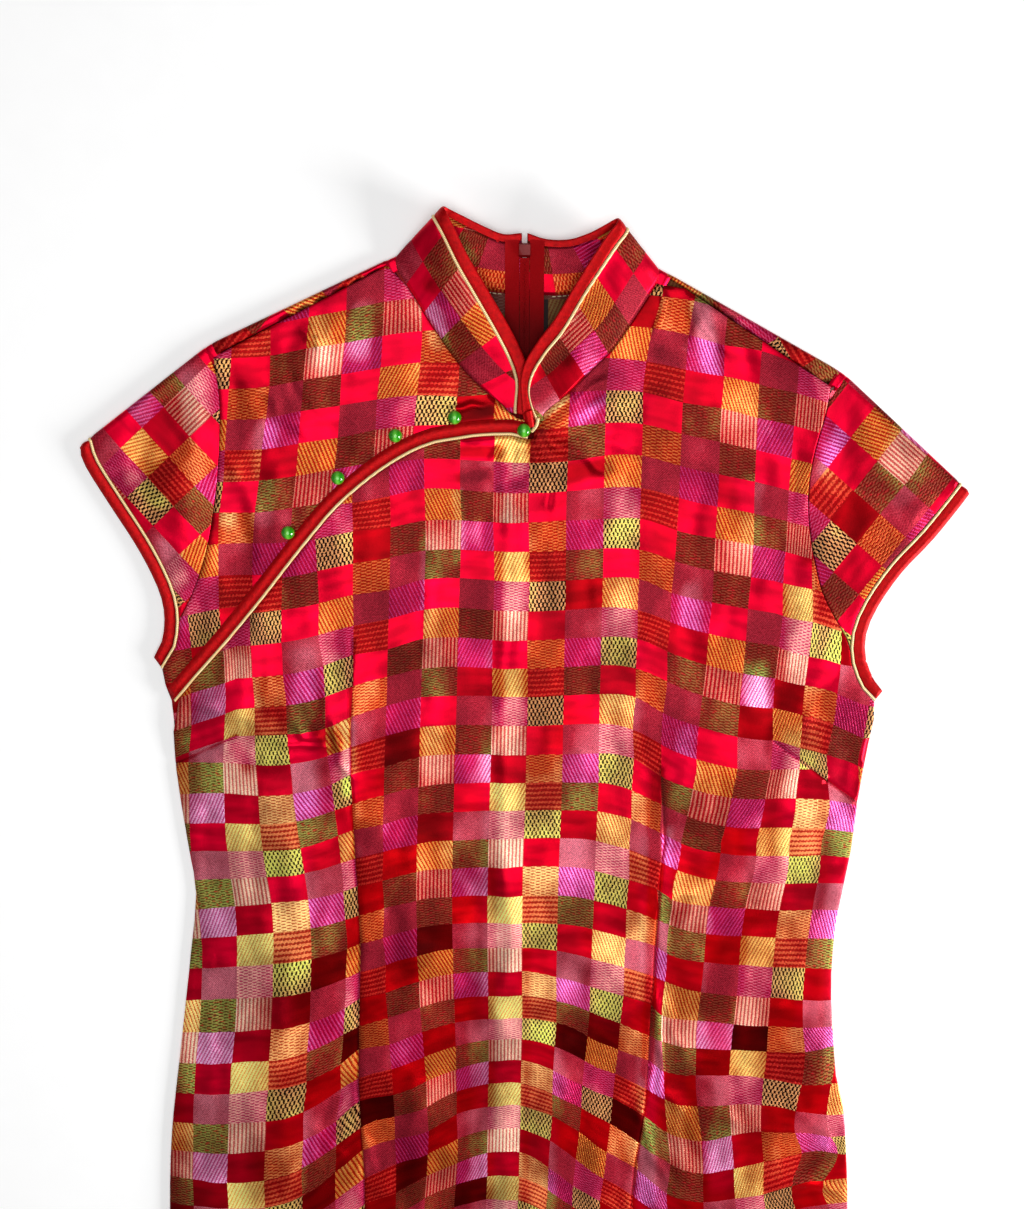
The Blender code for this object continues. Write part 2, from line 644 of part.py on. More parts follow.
def shell_faces(columns, rows):
    """Faces of a closed slab whose two faces are grids of the same size."""
    count = columns * rows
    faces = []
    for i in range(columns - 1):
        for j in range(rows - 1):
            a, b = i * rows + j, (i + 1) * rows + j
            faces.append((a, b, b + 1, a + 1))
            faces.append((a + count, a + 1 + count, b + 1 + count, b + count))
    for j in range(rows - 1):
        end = (columns - 1) * rows + j
        faces.append((j, j + 1, j + 1 + count, j + count))
        faces.append((end, end + count, end + 1 + count, end + 1))
    for i in range(columns - 1):
        a, b = i * rows, (i + 1) * rows
        faces.append((a, a + count, b + count, b))
        faces.append((a + rows - 1, b + rows - 1, b + rows - 1 + count, a + rows - 1 + count))
    return faces


# ---------------------------------------------------------------- zip and beads
def zip_floor(y):
    """Height at which the zip lies, just inside the back and the collar's back."""
    row = COLLAR_LEFT[0]
    along = max(0.0, (y - row["by"]) / (row["ty"] - row["by"]))
    middle = row["bz"] + along * (row["tz"] - row["bz"])
    over_binding = smoothstep(4.0, 10.0, y) * (BIND_WALL - CLOTH) / 2
    return middle + CLOTH / 2 + over_binding + ZIP_CLEAR


def zip_strip(name, low_x, high_x, wall, top_y, look):
    """A strip of the zip, from its lower end up to a height."""
    neck_y = COLLAR_LEFT[0]["by"]
    stations = [ZIP_END_Y + i * (neck_y - 5.0 - ZIP_END_Y) / 8 for i in range(9)]
    stations += [neck_y + i * (top_y - neck_y) / 6 for i in range(7)]
    grid = [[Vector((x, y, zip_floor(y))) for x in (low_x, high_x)] for y in stations]
    lift = Vector((0, 0, wall))
    verts = [v for row in grid for v in row] + [v + lift for row in grid for v in row]
    return add_object(name, verts, shell_faces(len(grid), 2), look, smooth=False)


def slab(name, outline, half_width, look):
    """A slab across X from (y, z) points, as an object."""
    count = len(outline)
    verts = [(x, y, z) for x in (-half_width, half_width) for y, z in outline]
    faces = [tuple(range(count)), tuple(range(2 * count - 1, count - 1, -1))]
    faces += [(i, (i + 1) % count, (i + 1) % count + count, i + count) for i in range(count)]
    return add_object(name, verts, faces, look, smooth=False)


def combine(obj, other, operation):
    """Add or take away another object for good."""
    mod = obj.modifiers.new(operation, "BOOLEAN")
    mod.operation = operation
    mod.solver = "EXACT"
    mod.object = other
    bpy.context.view_layer.update()
    evaluated = obj.evaluated_get(bpy.context.evaluated_depsgraph_get())
    mesh = bpy.data.meshes.new_from_object(evaluated)
    obj.modifiers.clear()
    obj.data = mesh
    bpy.data.objects.remove(other, do_unlink=True)


def arc(centre, radius, start, stop, steps):
    """Points of a circle's arc, angles in degrees."""
    out = []
    for i in range(steps + 1):
        angle = math.radians(start + (stop - start) * i / steps)
        out.append((centre[0] + radius * math.cos(angle), centre[1] + radius * math.sin(angle)))
    return out


def zip_slider():
    """The slider's body inside the back, its neck and the eye that holds the pull tab."""
    look = (ZIP_RED, 0.4)
    low_y, high_y, height = (ZIP_SLIDER[k] for k in ("low_y", "high_y", "height"))
    base = ZIP_TAPE_WALL + GAP
    low_z, high_z = zip_floor(low_y) + base, zip_floor(high_y) + base
    taper, neck_z = ZIP_SLIDER["taper"], low_z + ZIP_SLIDER["neck_sink"]
    body = [(low_y, low_z), (high_y, high_z), (high_y - taper, high_z + height),
            (low_y + taper, low_z + height)]
    slider = slab("zip_slider", body, ZIP_SLIDER["half_width"], look)
    eye = (PULL_AXIS.y, PULL_AXIS.z)
    neck = arc(eye, PULL["boss"], 180, 360, 10)
    neck += [(eye[0] + PULL["boss"], neck_z), (eye[0] - PULL["boss"], neck_z)]
    combine(slider, slab("neck", neck, ZIP_SLIDER["neck_half_width"], look), "UNION")
    hole = arc(eye, PULL["eye"], 0, 330, 11)
    combine(slider, slab("eye", hole, 3.0, look), "DIFFERENCE")
    return slider


def zip_pull():
    """The pull tab, hinged on its bar in the slider's eye and lying under the collar."""
    look = (ZIP_RED, 0.4)
    length, half, thick, bar = (PULL[k] for k in ("length", "half_width", "thick", "bar"))
    outline = [(half, bar), (-half, bar)] + arc((0, -length + half), half, 180, 360, 8)
    count = len(outline)
    verts = [(x, y, z) for z in (-thick / 2, thick / 2) for x, y in outline]
    faces = [tuple(range(count)), tuple(range(2 * count - 1, count - 1, -1))]
    faces += [(i, (i + 1) % count, (i + 1) % count + count, i + count) for i in range(count)]
    pull = add_object("zip_pull", verts, faces, look, smooth=False)
    window_end = -PULL["boss"] - PULL["window"]
    window = slab("window", [(window_end, -2), (-bar, -2), (-bar, 2), (window_end, 2)],
                  half / 2, look)
    combine(pull, window, "DIFFERENCE")
    pull.location = PULL_AXIS * MM
    drop = PULL_AXIS.z - thick / 2 - PULL["lift"]
    pull.rotation_euler.x = math.asin(drop / length)
    return pull


def bead(name, row):
    """A round bead sewn on beside the opening."""
    p = Vector((row["x"], row["y"]))
    under = over_underlap(p, BIND_WALL) if row["over_front"] else on_front(p, CLOTH)
    bm = bmesh.new()
    bmesh.ops.create_uvsphere(bm, u_segments=12, v_segments=8, radius=BEAD_RADIUS)
    middle = under + Vector((0, 0, GAP + BEAD_RADIUS))
    verts = [v.co + middle for v in bm.verts]
    faces = [tuple(v.index for v in f.verts) for f in bm.faces]
    bm.free()
    return add_object(name, verts, faces, (JADE, 0.12))


# ---------------------------------------------------------------- the whole dress
def centre_on_origin():
    """Move every piece so that the dress stands centred on the origin."""
    bpy.context.view_layer.update()
    corners = [obj.matrix_world @ v.co for obj in bpy.data.objects for v in obj.data.vertices]
    low = Vector([min(c[i] for c in corners) for i in range(3)])
    high = Vector([max(c[i] for c in corners) for i in range(3)])
    shift = Vector((-(low.x + high.x) / 2, -(low.y + high.y) / 2, 0.0))
    for obj in bpy.data.objects:
        obj.location += shift


def build():
    for obj in list(bpy.data.objects):
        bpy.data.objects.remove(obj, do_unlink=True)
    red, gold, tape = (RED, 0.45), (GOLD, 0.4), (ZIP_RED, 0.6)
    pipe = (BIND_WIDTH + GAP, BIND_WIDTH + GAP + PIPE_WIDTH)
    front_main()
    front_yoke()
    for side, name in NAMES.items():
        back_half(side)
        sleeve(side)
        sleeve_trim("bind", side, 0.0, BIND_WIDTH, red)
        sleeve_trim("pipe", side, *pipe, gold)
        collar_wall(f"collar_{name}", side, TRIM, None, CLOTH, BROCADE, steps=3)
        collar_wall(f"bind_collar_{name}", side, 0.0, BIND_WIDTH, BIND_WALL, red)
        collar_wall(f"pipe_collar_{name}", side, *pipe, BIND_WALL, gold)
        inner, outer = side * (ZIP_COIL_HALF + GAP), side * ZIP_TAPE_OUT
        zip_strip(f"zip_tape_{name}", min(inner, outer), max(inner, outer), ZIP_TAPE_WALL,
                  ZIP_TOP_Y, tape)
    opening_trim("bind_opening", 0.0, BIND_WIDTH, red)
    opening_trim("pipe_opening", *pipe, gold)
    zip_strip("zip_coil", -ZIP_COIL_HALF, ZIP_COIL_HALF, ZIP_COIL_WALL,
              ZIP_SLIDER["low_y"] - GAP, tape)
    zip_slider()
    zip_pull()
    for number, row in enumerate(BEADS):
        bead("bead_neck" if number == 0 else f"bead_{number}", row)
    centre_on_origin()


build()
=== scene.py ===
"""Looks of a cheongsam dress laid flat, front side up.

Lengths here are in millimetres in the frame's axes: +X to the right seen from above,
+Y towards the collar, +Z up. A piece's flat cut is worked out on its solid's outer face
and laid back there as fine cloth.
"""

import math

import bmesh
import bpy
import numpy as np
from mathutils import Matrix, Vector, noise
from mathutils.bvhtree import BVHTree
from mathutils.geometry import delaunay_2d_cdt


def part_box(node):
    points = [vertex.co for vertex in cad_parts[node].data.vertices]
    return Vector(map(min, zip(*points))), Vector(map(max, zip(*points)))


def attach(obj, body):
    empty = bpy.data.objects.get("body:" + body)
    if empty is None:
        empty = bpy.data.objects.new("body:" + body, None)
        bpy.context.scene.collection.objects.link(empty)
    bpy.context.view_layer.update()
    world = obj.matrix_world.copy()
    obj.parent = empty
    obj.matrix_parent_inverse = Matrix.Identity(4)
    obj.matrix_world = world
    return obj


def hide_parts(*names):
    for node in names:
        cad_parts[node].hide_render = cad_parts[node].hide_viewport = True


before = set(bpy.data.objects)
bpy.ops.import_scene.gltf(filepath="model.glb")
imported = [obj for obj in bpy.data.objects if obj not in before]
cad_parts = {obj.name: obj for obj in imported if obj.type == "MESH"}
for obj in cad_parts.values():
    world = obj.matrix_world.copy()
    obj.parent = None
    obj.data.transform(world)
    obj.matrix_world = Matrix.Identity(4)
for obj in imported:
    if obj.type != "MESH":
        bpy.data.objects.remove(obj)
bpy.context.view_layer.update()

MM = 0.001
PLAN = Vector((-1.496, 456.649))        # the pattern's zero, where the neck meets the shoulders

# ------------------------------------------------------------------ camera
EYE = Vector((-9.5, 405.65, 799.1))
TILT = math.radians(12.0)
FOCAL = 1200.0                          # in units of a frame 1024 wide and 1209 high
MIDDLE = (512.0, 604.5)


def sight(u, v):
    """The direction in which the camera sees a place in its frame."""
    a, b = (u - MIDDLE[0]) / FOCAL, (MIDDLE[1] - v) / FOCAL
    return Vector((a, b * math.cos(TILT) - math.sin(TILT),
                   -b * math.sin(TILT) - math.cos(TILT))).normalized()


def touch(u, v, skin=None, level=5.0):
    """The point that the camera sees on a skin, or else at a level."""
    ray = sight(u, v)
    hit = skin.ray_cast(EYE, ray)[0] if skin else None
    return hit or EYE + ray * ((level - EYE.z) / ray.z)


def make_camera():
    data = bpy.data.cameras.new("camera")
    data.sensor_fit = "AUTO"
    data.sensor_width = 36.0
    data.lens = data.sensor_width * FOCAL / (2 * MIDDLE[1])
    data.clip_start, data.clip_end = 0.01, 50.0
    camera = bpy.data.objects.new("camera", data)
    camera.location = EYE * MM
    camera.rotation_euler = (-TILT, 0.0, 0.0)
    bpy.context.scene.collection.objects.link(camera)
    bpy.context.scene.camera = camera


# ------------------------------------------------------------------ sizes
SQUARE = (25.0, 21.5)                   # one weave square, across and along the cloth
CLOTH = 0.6
FOLD_AXIS = 2.4                         # outer radius where a panel turns over
FOLD_ARC = math.pi * 1.8                # length of the cloth round it
BIND_WIDTH, PIPE_WIDTH, GAP = 7.8, 1.8, 0.3
SEAM = 0.08                             # how far the cord covers its seams
STRIP = 0.5                             # thickness of a strip of binding
STRIP_SEAM = 0.28                       # how far the strip covers its seams
CORD_LIFT = 0.35                        # how far the cord stands above its solid
TRIM = BIND_WIDTH + GAP + PIPE_WIDTH + GAP

FOLD_LINES = {                          # in the pattern's plan
    "back_left": ((-86, 6), (-205, -48)),
    "back_right": ((90, -2), (208, -66)),
    "sleeve_left": ((-205, -48), (-294, -113.5)),
    "sleeve_right": ((208, -66), (297, -144)),
}

# Where the cloth's lattice lies on the front: for each lengthwise line of it, the crosswise
# line's number and the place in the camera's frame.
FRONT_LATTICE = {
    0: [(0, 424.1, 458.9), (1, 424.5, 488.4), (2, 425.3, 520.6), (4, 424.7, 579),
        (6, 423.3, 638), (8, 420.8, 696.9), (10, 419.3, 756.8), (12, 417.8, 814.9),
        (14, 416.7, 872.2), (16, 417, 928.5), (18, 419.2, 981.2), (20, 422.3, 1031.3),
        (22, 426.6, 1080.3), (24, 428.8, 1130.1), (26, 426.6, 1176), (27, 424.9, 1198.1)],
    1: [(0, 460.3, 459.6), (2, 461.9, 520.3), (4, 459.9, 578.4), (6, 458.3, 637.7),
        (8, 456.9, 695.8), (10, 455, 754.6), (12, 453.5, 811.8), (14, 452.4, 868.8),
        (16, 452.2, 923.8), (18, 453.5, 974), (20, 454.9, 1023.2), (22, 456.1, 1069.8),
        (24, 456.6, 1113.6), (26, 457.5, 1163), (28, 454, 1207.6)],
    2: [(0, 493.9, 461.6), (2, 492.9, 522.3), (4, 494.5, 580.3), (6, 492.5, 639.7),
        (8, 492.3, 696.7), (10, 491, 755.3), (12, 489.5, 811.2), (14, 488, 867.8),
        (16, 487.5, 923.1), (18, 487.8, 972.2), (20, 488.7, 1019.2), (22, 488.7, 1061.1),
        (24, 488, 1106), (26, 487.1, 1152.7), (28, 486.3, 1199.9)],
    3: [(0, 529.5, 462.8), (2, 528.9, 522.3), (4, 529.5, 581.9), (6, 527.5, 640.4),
        (8, 527.5, 697.2), (10, 526.4, 755.7), (12, 524.8, 810.5), (14, 523, 866.7),
        (16, 522.1, 923), (18, 522.1, 971.9), (20, 522.1, 1019.2), (22, 521.4, 1061.1),
        (24, 520.6, 1106.4), (26, 519.6, 1152.7), (28, 518, 1200.7)],
    4: [(0, 568, 461.5), (2, 566.1, 520.3), (4, 565.7, 580.2), (6, 564.7, 638.6),
        (8, 563.8, 696), (10, 562.7, 754.5), (12, 561.2, 810.3), (14, 558.9, 866.7),
        (16, 557.3, 923.9), (18, 556.4, 976.9), (20, 556.4, 1022), (22, 553.2, 1070.4),
        (24, 552.3, 1115.8), (26, 548.4, 1166.4), (27, 547.9, 1188.7)],
    5: [(0, 604.6, 455.5), (2, 603.6, 519.1), (4, 603, 578.4), (6, 601.3, 637.7),
        (8, 599.7, 694.8), (10, 598.7, 753.5), (12, 597.2, 811.2), (14, 594.8, 870.5),
        (16, 592.6, 929), (18, 589.9, 986.3), (20, 587.3, 1035.5), (22, 582.2, 1085.8),
        (24, 579.2, 1131.3), (26, 572.9, 1185.3)],
    6: [(-5, 662, 296.6), (-4, 652.7, 328.1), (-3, 646.4, 361.7), (-2, 643, 392.2),
        (-1, 643, 424.2), (0, 642.2, 455.8), (2, 640.1, 518.5), (4, 639, 578.5),
        (6, 637.4, 638.3), (8, 636, 697), (10, 634.2, 758.4), (12, 631.6, 818.9),
        (14, 629.2, 879.9), (16, 626.1, 938.8), (18, 623.5, 996.3), (20, 618.2, 1049.8),
        (22, 612.7, 1098.7), (24, 606.7, 1152.7), (26, 599.8, 1200.7)],
    7: [(-5, 694.5, 301), (-4, 689.1, 335), (-3, 685.9, 369.7), (-2, 683, 402.7),
        (0, 680.1, 465.9), (2, 676.9, 530.5), (4, 671.1, 592.6), (6, 667.3, 651.6),
        (8, 662.8, 713.2), (9, 661, 744.5), (10, 660.9, 776.6), (12, 659.4, 832),
        (14, 656.6, 889.1), (16, 655.5, 946.3), (18, 651.2, 1004.5), (20, 648.3, 1060),
        (22, 645, 1117), (24, 638, 1170)],
    8: [(-4, 724.5, 345.4), (-3, 724.3, 376.2), (-2, 721.6, 408.4), (0, 719.5, 474.7),
        (2, 715.3, 538.3), (4, 712.1, 602.1), (6, 706.8, 665.3), (8, 699.1, 727),
        (10, 692.9, 789.8), (12, 681.8, 844.3), (14, 672.9, 900.2), (16, 667.2, 954.3),
        (18, 661.6, 1015.7), (20, 663.7, 1071.7), (22, 667.1, 1132.8), (24, 666.3, 1193)],
    9: [(-4, 761.8, 350.8), (-3, 758.9, 384.4), (-2, 757.4, 417.9), (0, 754.8, 481.7),
        (2, 753.8, 545.3), (4, 747.9, 609), (6, 743.3, 673.7), (8, 737.5, 736.8),
        (10, 732, 797.7), (12, 720.5, 852.9), (14, 709.3, 906), (16, 704.1, 962.4),
        (18, 697.6, 1020.9), (20, 695.5, 1074.8), (22, 701.2, 1139.7), (24, 703.3, 1201.6)],
    10: [(-4, 799.7, 365), (-3, 796.7, 393), (-2, 794.2, 425.9), (0, 788.9, 490.5),
         (2, 785.4, 551.6), (4, 782.3, 615.4), (6, 774.7, 677.9), (8, 772.9, 740.4),
         (10, 765.2, 798.9), (12, 756.3, 856), (14, 745.5, 908.8), (16, 739.4, 965.8),
         (18, 733.9, 1025.2), (20, 729.1, 1075.1), (22, 731.7, 1136.2), (24, 735.6, 1199.6)],
    11: [(-3, 829, 402.9), (2, 812, 559), (4, 812.5, 621.7), (6, 805, 685.3),
         (7, 801.8, 714.1), (9, 799.6, 769), (10, 795.9, 798), (12, 788.9, 856.4),
         (14, 779.3, 910), (16, 773, 967.5), (18, 768.7, 1026.6), (20, 763.5, 1078.2),
         (22, 761.3, 1131.4), (24, 763.5, 1194.4)],
    12: [(4, 841.6, 631.6), (5, 840.5, 664.2), (6, 837.4, 693.7), (7, 833.9, 724.8),
         (8, 826.8, 755.2), (10, 829.8, 800.4), (12, 821.1, 856), (14, 812.5, 910),
         (16, 804.8, 967.2), (18, 803.1, 1027.8), (20, 801.7, 1085.1), (22, 795.7, 1134.5),
         (24, 791.6, 1185.3)],
    13: [(7, 863.4, 738.2), (8, 858, 765.9), (18, 831.5, 1026.9), (20, 831.2, 1083.7),
         (22, 829.8, 1137.1), (24, 822.9, 1181)],
    12.84: [(10, 856.3, 805.5), (12, 847.3, 857.3), (14, 838, 910.5)],
    -1: [(1, 390.2, 495.9), (2, 390.8, 527.5), (4, 389.6, 589.8), (6, 387.8, 649.5),
         (8, 386.3, 706.4), (10, 384.2, 767.5), (12, 382.8, 824.3), (14, 382, 881.1),
         (16, 382.5, 938.8), (18, 385.3, 993.2), (20, 389.3, 1044.6), (22, 393.2, 1095.2),
         (24, 394.8, 1139.8), (26, 396.1, 1193)],
    -2: [(1, 352.1, 502.8), (2, 352.7, 531.5), (4, 353, 594.7), (6, 352.9, 655),
         (8, 351.5, 716.5), (10, 350.4, 774), (12, 353.8, 829.8), (14, 358, 886.1),
         (16, 360.6, 944), (18, 359.2, 999.2), (20, 358.6, 1050), (22, 359.6, 1100.9),
         (24, 362.9, 1150.1), (26, 364.6, 1204.2)],
    -3: [(2, 315.1, 539.4), (4, 319, 603.6), (6, 323.5, 665.9), (8, 325.6, 728.2),
         (10, 331.7, 784.7), (12, 337.7, 836.4), (14, 343, 892.3), (16, 346.9, 949.5),
         (18, 344.7, 1009.1), (20, 340.4, 1064.9), (22, 336.1, 1121.8), (24, 334.9, 1173.3),
         (25, 335.2, 1200.7)],
    -4: [(3, 281.9, 577.9), (4, 281.1, 610.2), (6, 282.8, 674.8), (8, 287.2, 734.4),
         (10, 292.6, 794.5), (12, 300.2, 848.8), (14, 308.1, 899.7), (16, 311.4, 958.8),
         (18, 309.5, 1023.5), (20, 306.4, 1082.4), (22, 303.2, 1141), (24, 302.7, 1195.6)],
    -5: [(4, 250.4, 612.5), (6, 252.8, 676.8), (8, 255, 735.1), (10, 258.8, 795.4),
         (12, 262.8, 851), (14, 271.4, 903.2), (16, 273, 964), (18, 271.4, 1028.9),
         (20, 268.4, 1088.9), (22, 264.9, 1151), (23, 264.1, 1180.5)],
    -6: [(5, 223.5, 650.7), (6, 225.7, 682.1), (7, 225.9, 712.9), (9, 223.7, 761.5),
         (10, 224, 793.3), (12, 227.5, 851.4), (14, 235.2, 906.1), (16, 236.6, 967.1),
         (18, 234.9, 1031.8), (20, 229.8, 1093.9), (22, 227.5, 1154.4), (23, 226.8, 1183.6)],
    -7: [(6, 190.5, 693.6), (7, 191.3, 725.8), (9, 188.2, 762.3), (10, 189.3, 794.2),
         (12, 191, 851.4), (14, 198.7, 909.6), (16, 202, 968.3), (18, 198.9, 1032.6),
         (20, 194.3, 1093.5), (22, 192.9, 1152.7), (23, 192.9, 1178.9)],
}
YOKE_LATTICE = {
    12: [(3, 459.6, 362.4), (4, 457.6, 396.7), (5, 453.7, 424.7)],
    11: [(1, 421, 298), (2, 422.4, 331.2), (3, 420.4, 362.4), (4, 416.9, 395.5),
         (5, 414.3, 425.7)],
    10: [(1, 384.4, 301.8), (2, 382.5, 336), (3, 380.8, 367.6), (4, 377, 399.6),
         (5, 375.6, 429.7)],
    9: [(1, 346.3, 310.2), (2, 345, 343), (3, 341.5, 374.3), (4, 340.1, 405.6),
        (5, 338, 438), (6, 334.3, 469.2)],
    8: [(1, 308.8, 317.1), (2, 306.5, 348.5), (3, 303.5, 380), (4, 300.8, 411),
        (5, 298.3, 443.5), (6, 295.9, 476.1), (7, 292.3, 507.7), (8, 290.8, 542)],
    7: [(1, 270.4, 324.7), (2, 270, 355.9), (3, 269.4, 386.5), (4, 265.8, 418.5),
        (5, 261.7, 449.4), (6, 258.7, 480.7), (7, 254.8, 512.7), (8, 252.8, 543.3),
        (9, 252.2, 575)],
    6: [(2, 231, 358), (3, 228.6, 389), (4, 226.8, 419.7), (5, 224.7, 450.4),
        (6, 223.2, 482), (7, 219.2, 512.7), (8, 218.2, 544.3), (9, 218.2, 576),
        (10, 219.2, 608.6)],
    5: [(10, 187.6, 615.5), (11, 191.1, 648.1)],
}
# Three places of each piece's lattice: across, along and where it lies, on its upper layer.
FOLDED_LATTICE = {
    "sleeve_left": [(3.5, 0.5, 149.8, 502), (3.5, 1.5, 128.8, 522), (4.5, 0.5, 176.3, 530.6)],
    "sleeve_right": [(0.5, 2.5, 903, 458.4), (0.5, 3.5, 929, 481.9), (1.5, 2.5, 927, 428.4)],
}
# The backs are cut with the lattice square to the centre back: one place on the shoulder.
BACK_LATTICE = {"back_left": (3.5, -0.5, 229.0, 339.0), "back_right": (2.5, 0.4, 757.0, 328.0)}

# Darts: their paths and how much of the lattice they take up along them.
DARTS = {
    "waist_left": [(352.5, 640, 0), (350.2, 700, .29), (351, 780, .46), (354.6, 849, .59),
                   (358.6, 916, .58), (360.4, 950, .6), (358.8, 1033, .55),
                   (358.2, 1090, .52), (362.4, 1149, .25), (364.2, 1175, .18),
                   (364.8, 1215, .15)],
    "waist_right": [(661.2, 770, 0), (664, 806, .25), (665.5, 842, .58), (662, 872, .6),
                    (660, 897, .67), (657.5, 927, .7), (656, 952, .71), (651, 1033, .65),
                    (647.5, 1091, .48), (642, 1132, .3), (635.5, 1166, .12), (631, 1215, 0)],
    "bust_left": [(237, 735, 0), (190, 757.6, .6), (172, 766.4, .85)],
    "bust_right": [(775, 741.8, 0), (800, 760.5, .3), (829, 782.3, .5), (862, 807.2, .95)],
}

# Creases of the upper layer: from one place in the frame to another, how wide and how high.
CREASES = [
    (300, 728, 330, 744, 9, 1.8), (286, 741, 326, 743, 5, 1.5), (334, 728, 350, 776, 7, 2.0),
    (190, 770, 300, 752, 16, 1.0), (700, 300, 716, 350, 9, 2.2), (664, 285, 657, 330, 6, 2.0),
    (690, 300, 688, 345, 6, -1.5), (600, 385, 541, 424, 8, 2.4), (560, 420, 640, 400, 12, 1.0),
    (575, 432, 640, 452, 10, -1.4), (545, 436, 600, 470, 9, 1.9), (533, 440, 552, 500, 8, 1.8),
    (520, 442, 512, 510, 8, 1.7), (505, 440, 478, 478, 8, -1.5), (496, 398, 502, 420, 4, 1.3),
    (455, 408, 490, 402, 6, 1.9), (470, 444, 496, 442, 6, 1.8), (262, 392, 303, 432, 11, 1.3),
    (292, 385, 318, 420, 9, -0.9), (240, 470, 262, 540, 14, 1.0), (330, 330, 352, 372, 12, 0.8),
    (308, 334, 320, 346, 6, 1.1), (746, 330, 752, 420, 14, 0.9), (800, 470, 770, 560, 18, 1.2),
    (846, 660, 800, 720, 14, 1.2), (862, 750, 790, 735, 12, 1.0), (858, 830, 780, 800, 16, 1.1),
    (185, 700, 250, 720, 12, 1.0), (196, 820, 260, 800, 16, 0.9), (205, 860, 285, 845, 14, -0.8),
    (850, 860, 770, 850, 14, -0.8), (662, 905, 690, 890, 9, 1.0), (655, 1000, 660, 1090, 7, 2.0),
    (668, 1010, 690, 1075, 10, 1.1), (640, 1120, 668, 1185, 9, 1.6),
    (676, 1095, 700, 1150, 11, 1.0), (790, 1100, 832, 1150, 12, 1.3),
    (800, 1185, 845, 1195, 9, 1.6), (735, 1120, 790, 1128, 12, 0.9),
    (360, 960, 360, 1090, 8, -1.2), (356, 1110, 372, 1160, 9, 1.2),
    (322, 1130, 352, 1175, 12, 1.0), (206, 970, 214, 1100, 12, 0.8),
    (420, 1085, 430, 1140, 14, 0.8), (560, 1085, 552, 1180, 16, 0.9),
    (128, 470, 150, 560, 14, 1.0), (100, 450, 128, 500, 10, 0.9), (905, 470, 880, 540, 14, 1.0),
    (930, 500, 900, 530, 9, 0.8), (640, 560, 630, 760, 20, 1.3), (436, 540, 430, 780, 20, 1.3),
    (512, 470, 509, 640, 16, 1.4), (508, 640, 505, 900, 18, 1.7), (507, 880, 503, 1220, 19, 2.0),
    (300, 860, 290, 1220, 26, 1.2), (742, 820, 702, 1220, 26, 1.2), (604, 800, 590, 1220, 22, 1.2),
    (430, 800, 424, 1220, 22, 1.2), (250, 640, 236, 900, 22, 1.1), (800, 560, 790, 700, 22, 1.2),
    (700, 420, 690, 620, 22, 1.2), (362, 420, 352, 620, 20, 1.2), (300, 560, 330, 720, 16, 1.0),
    (540, 480, 560, 620, 18, 1.0), (480, 700, 470, 900, 20, -1.1), (560, 720, 545, 1000, 22, -1.1),
    (590, 500, 600, 640, 18, -0.9),
]

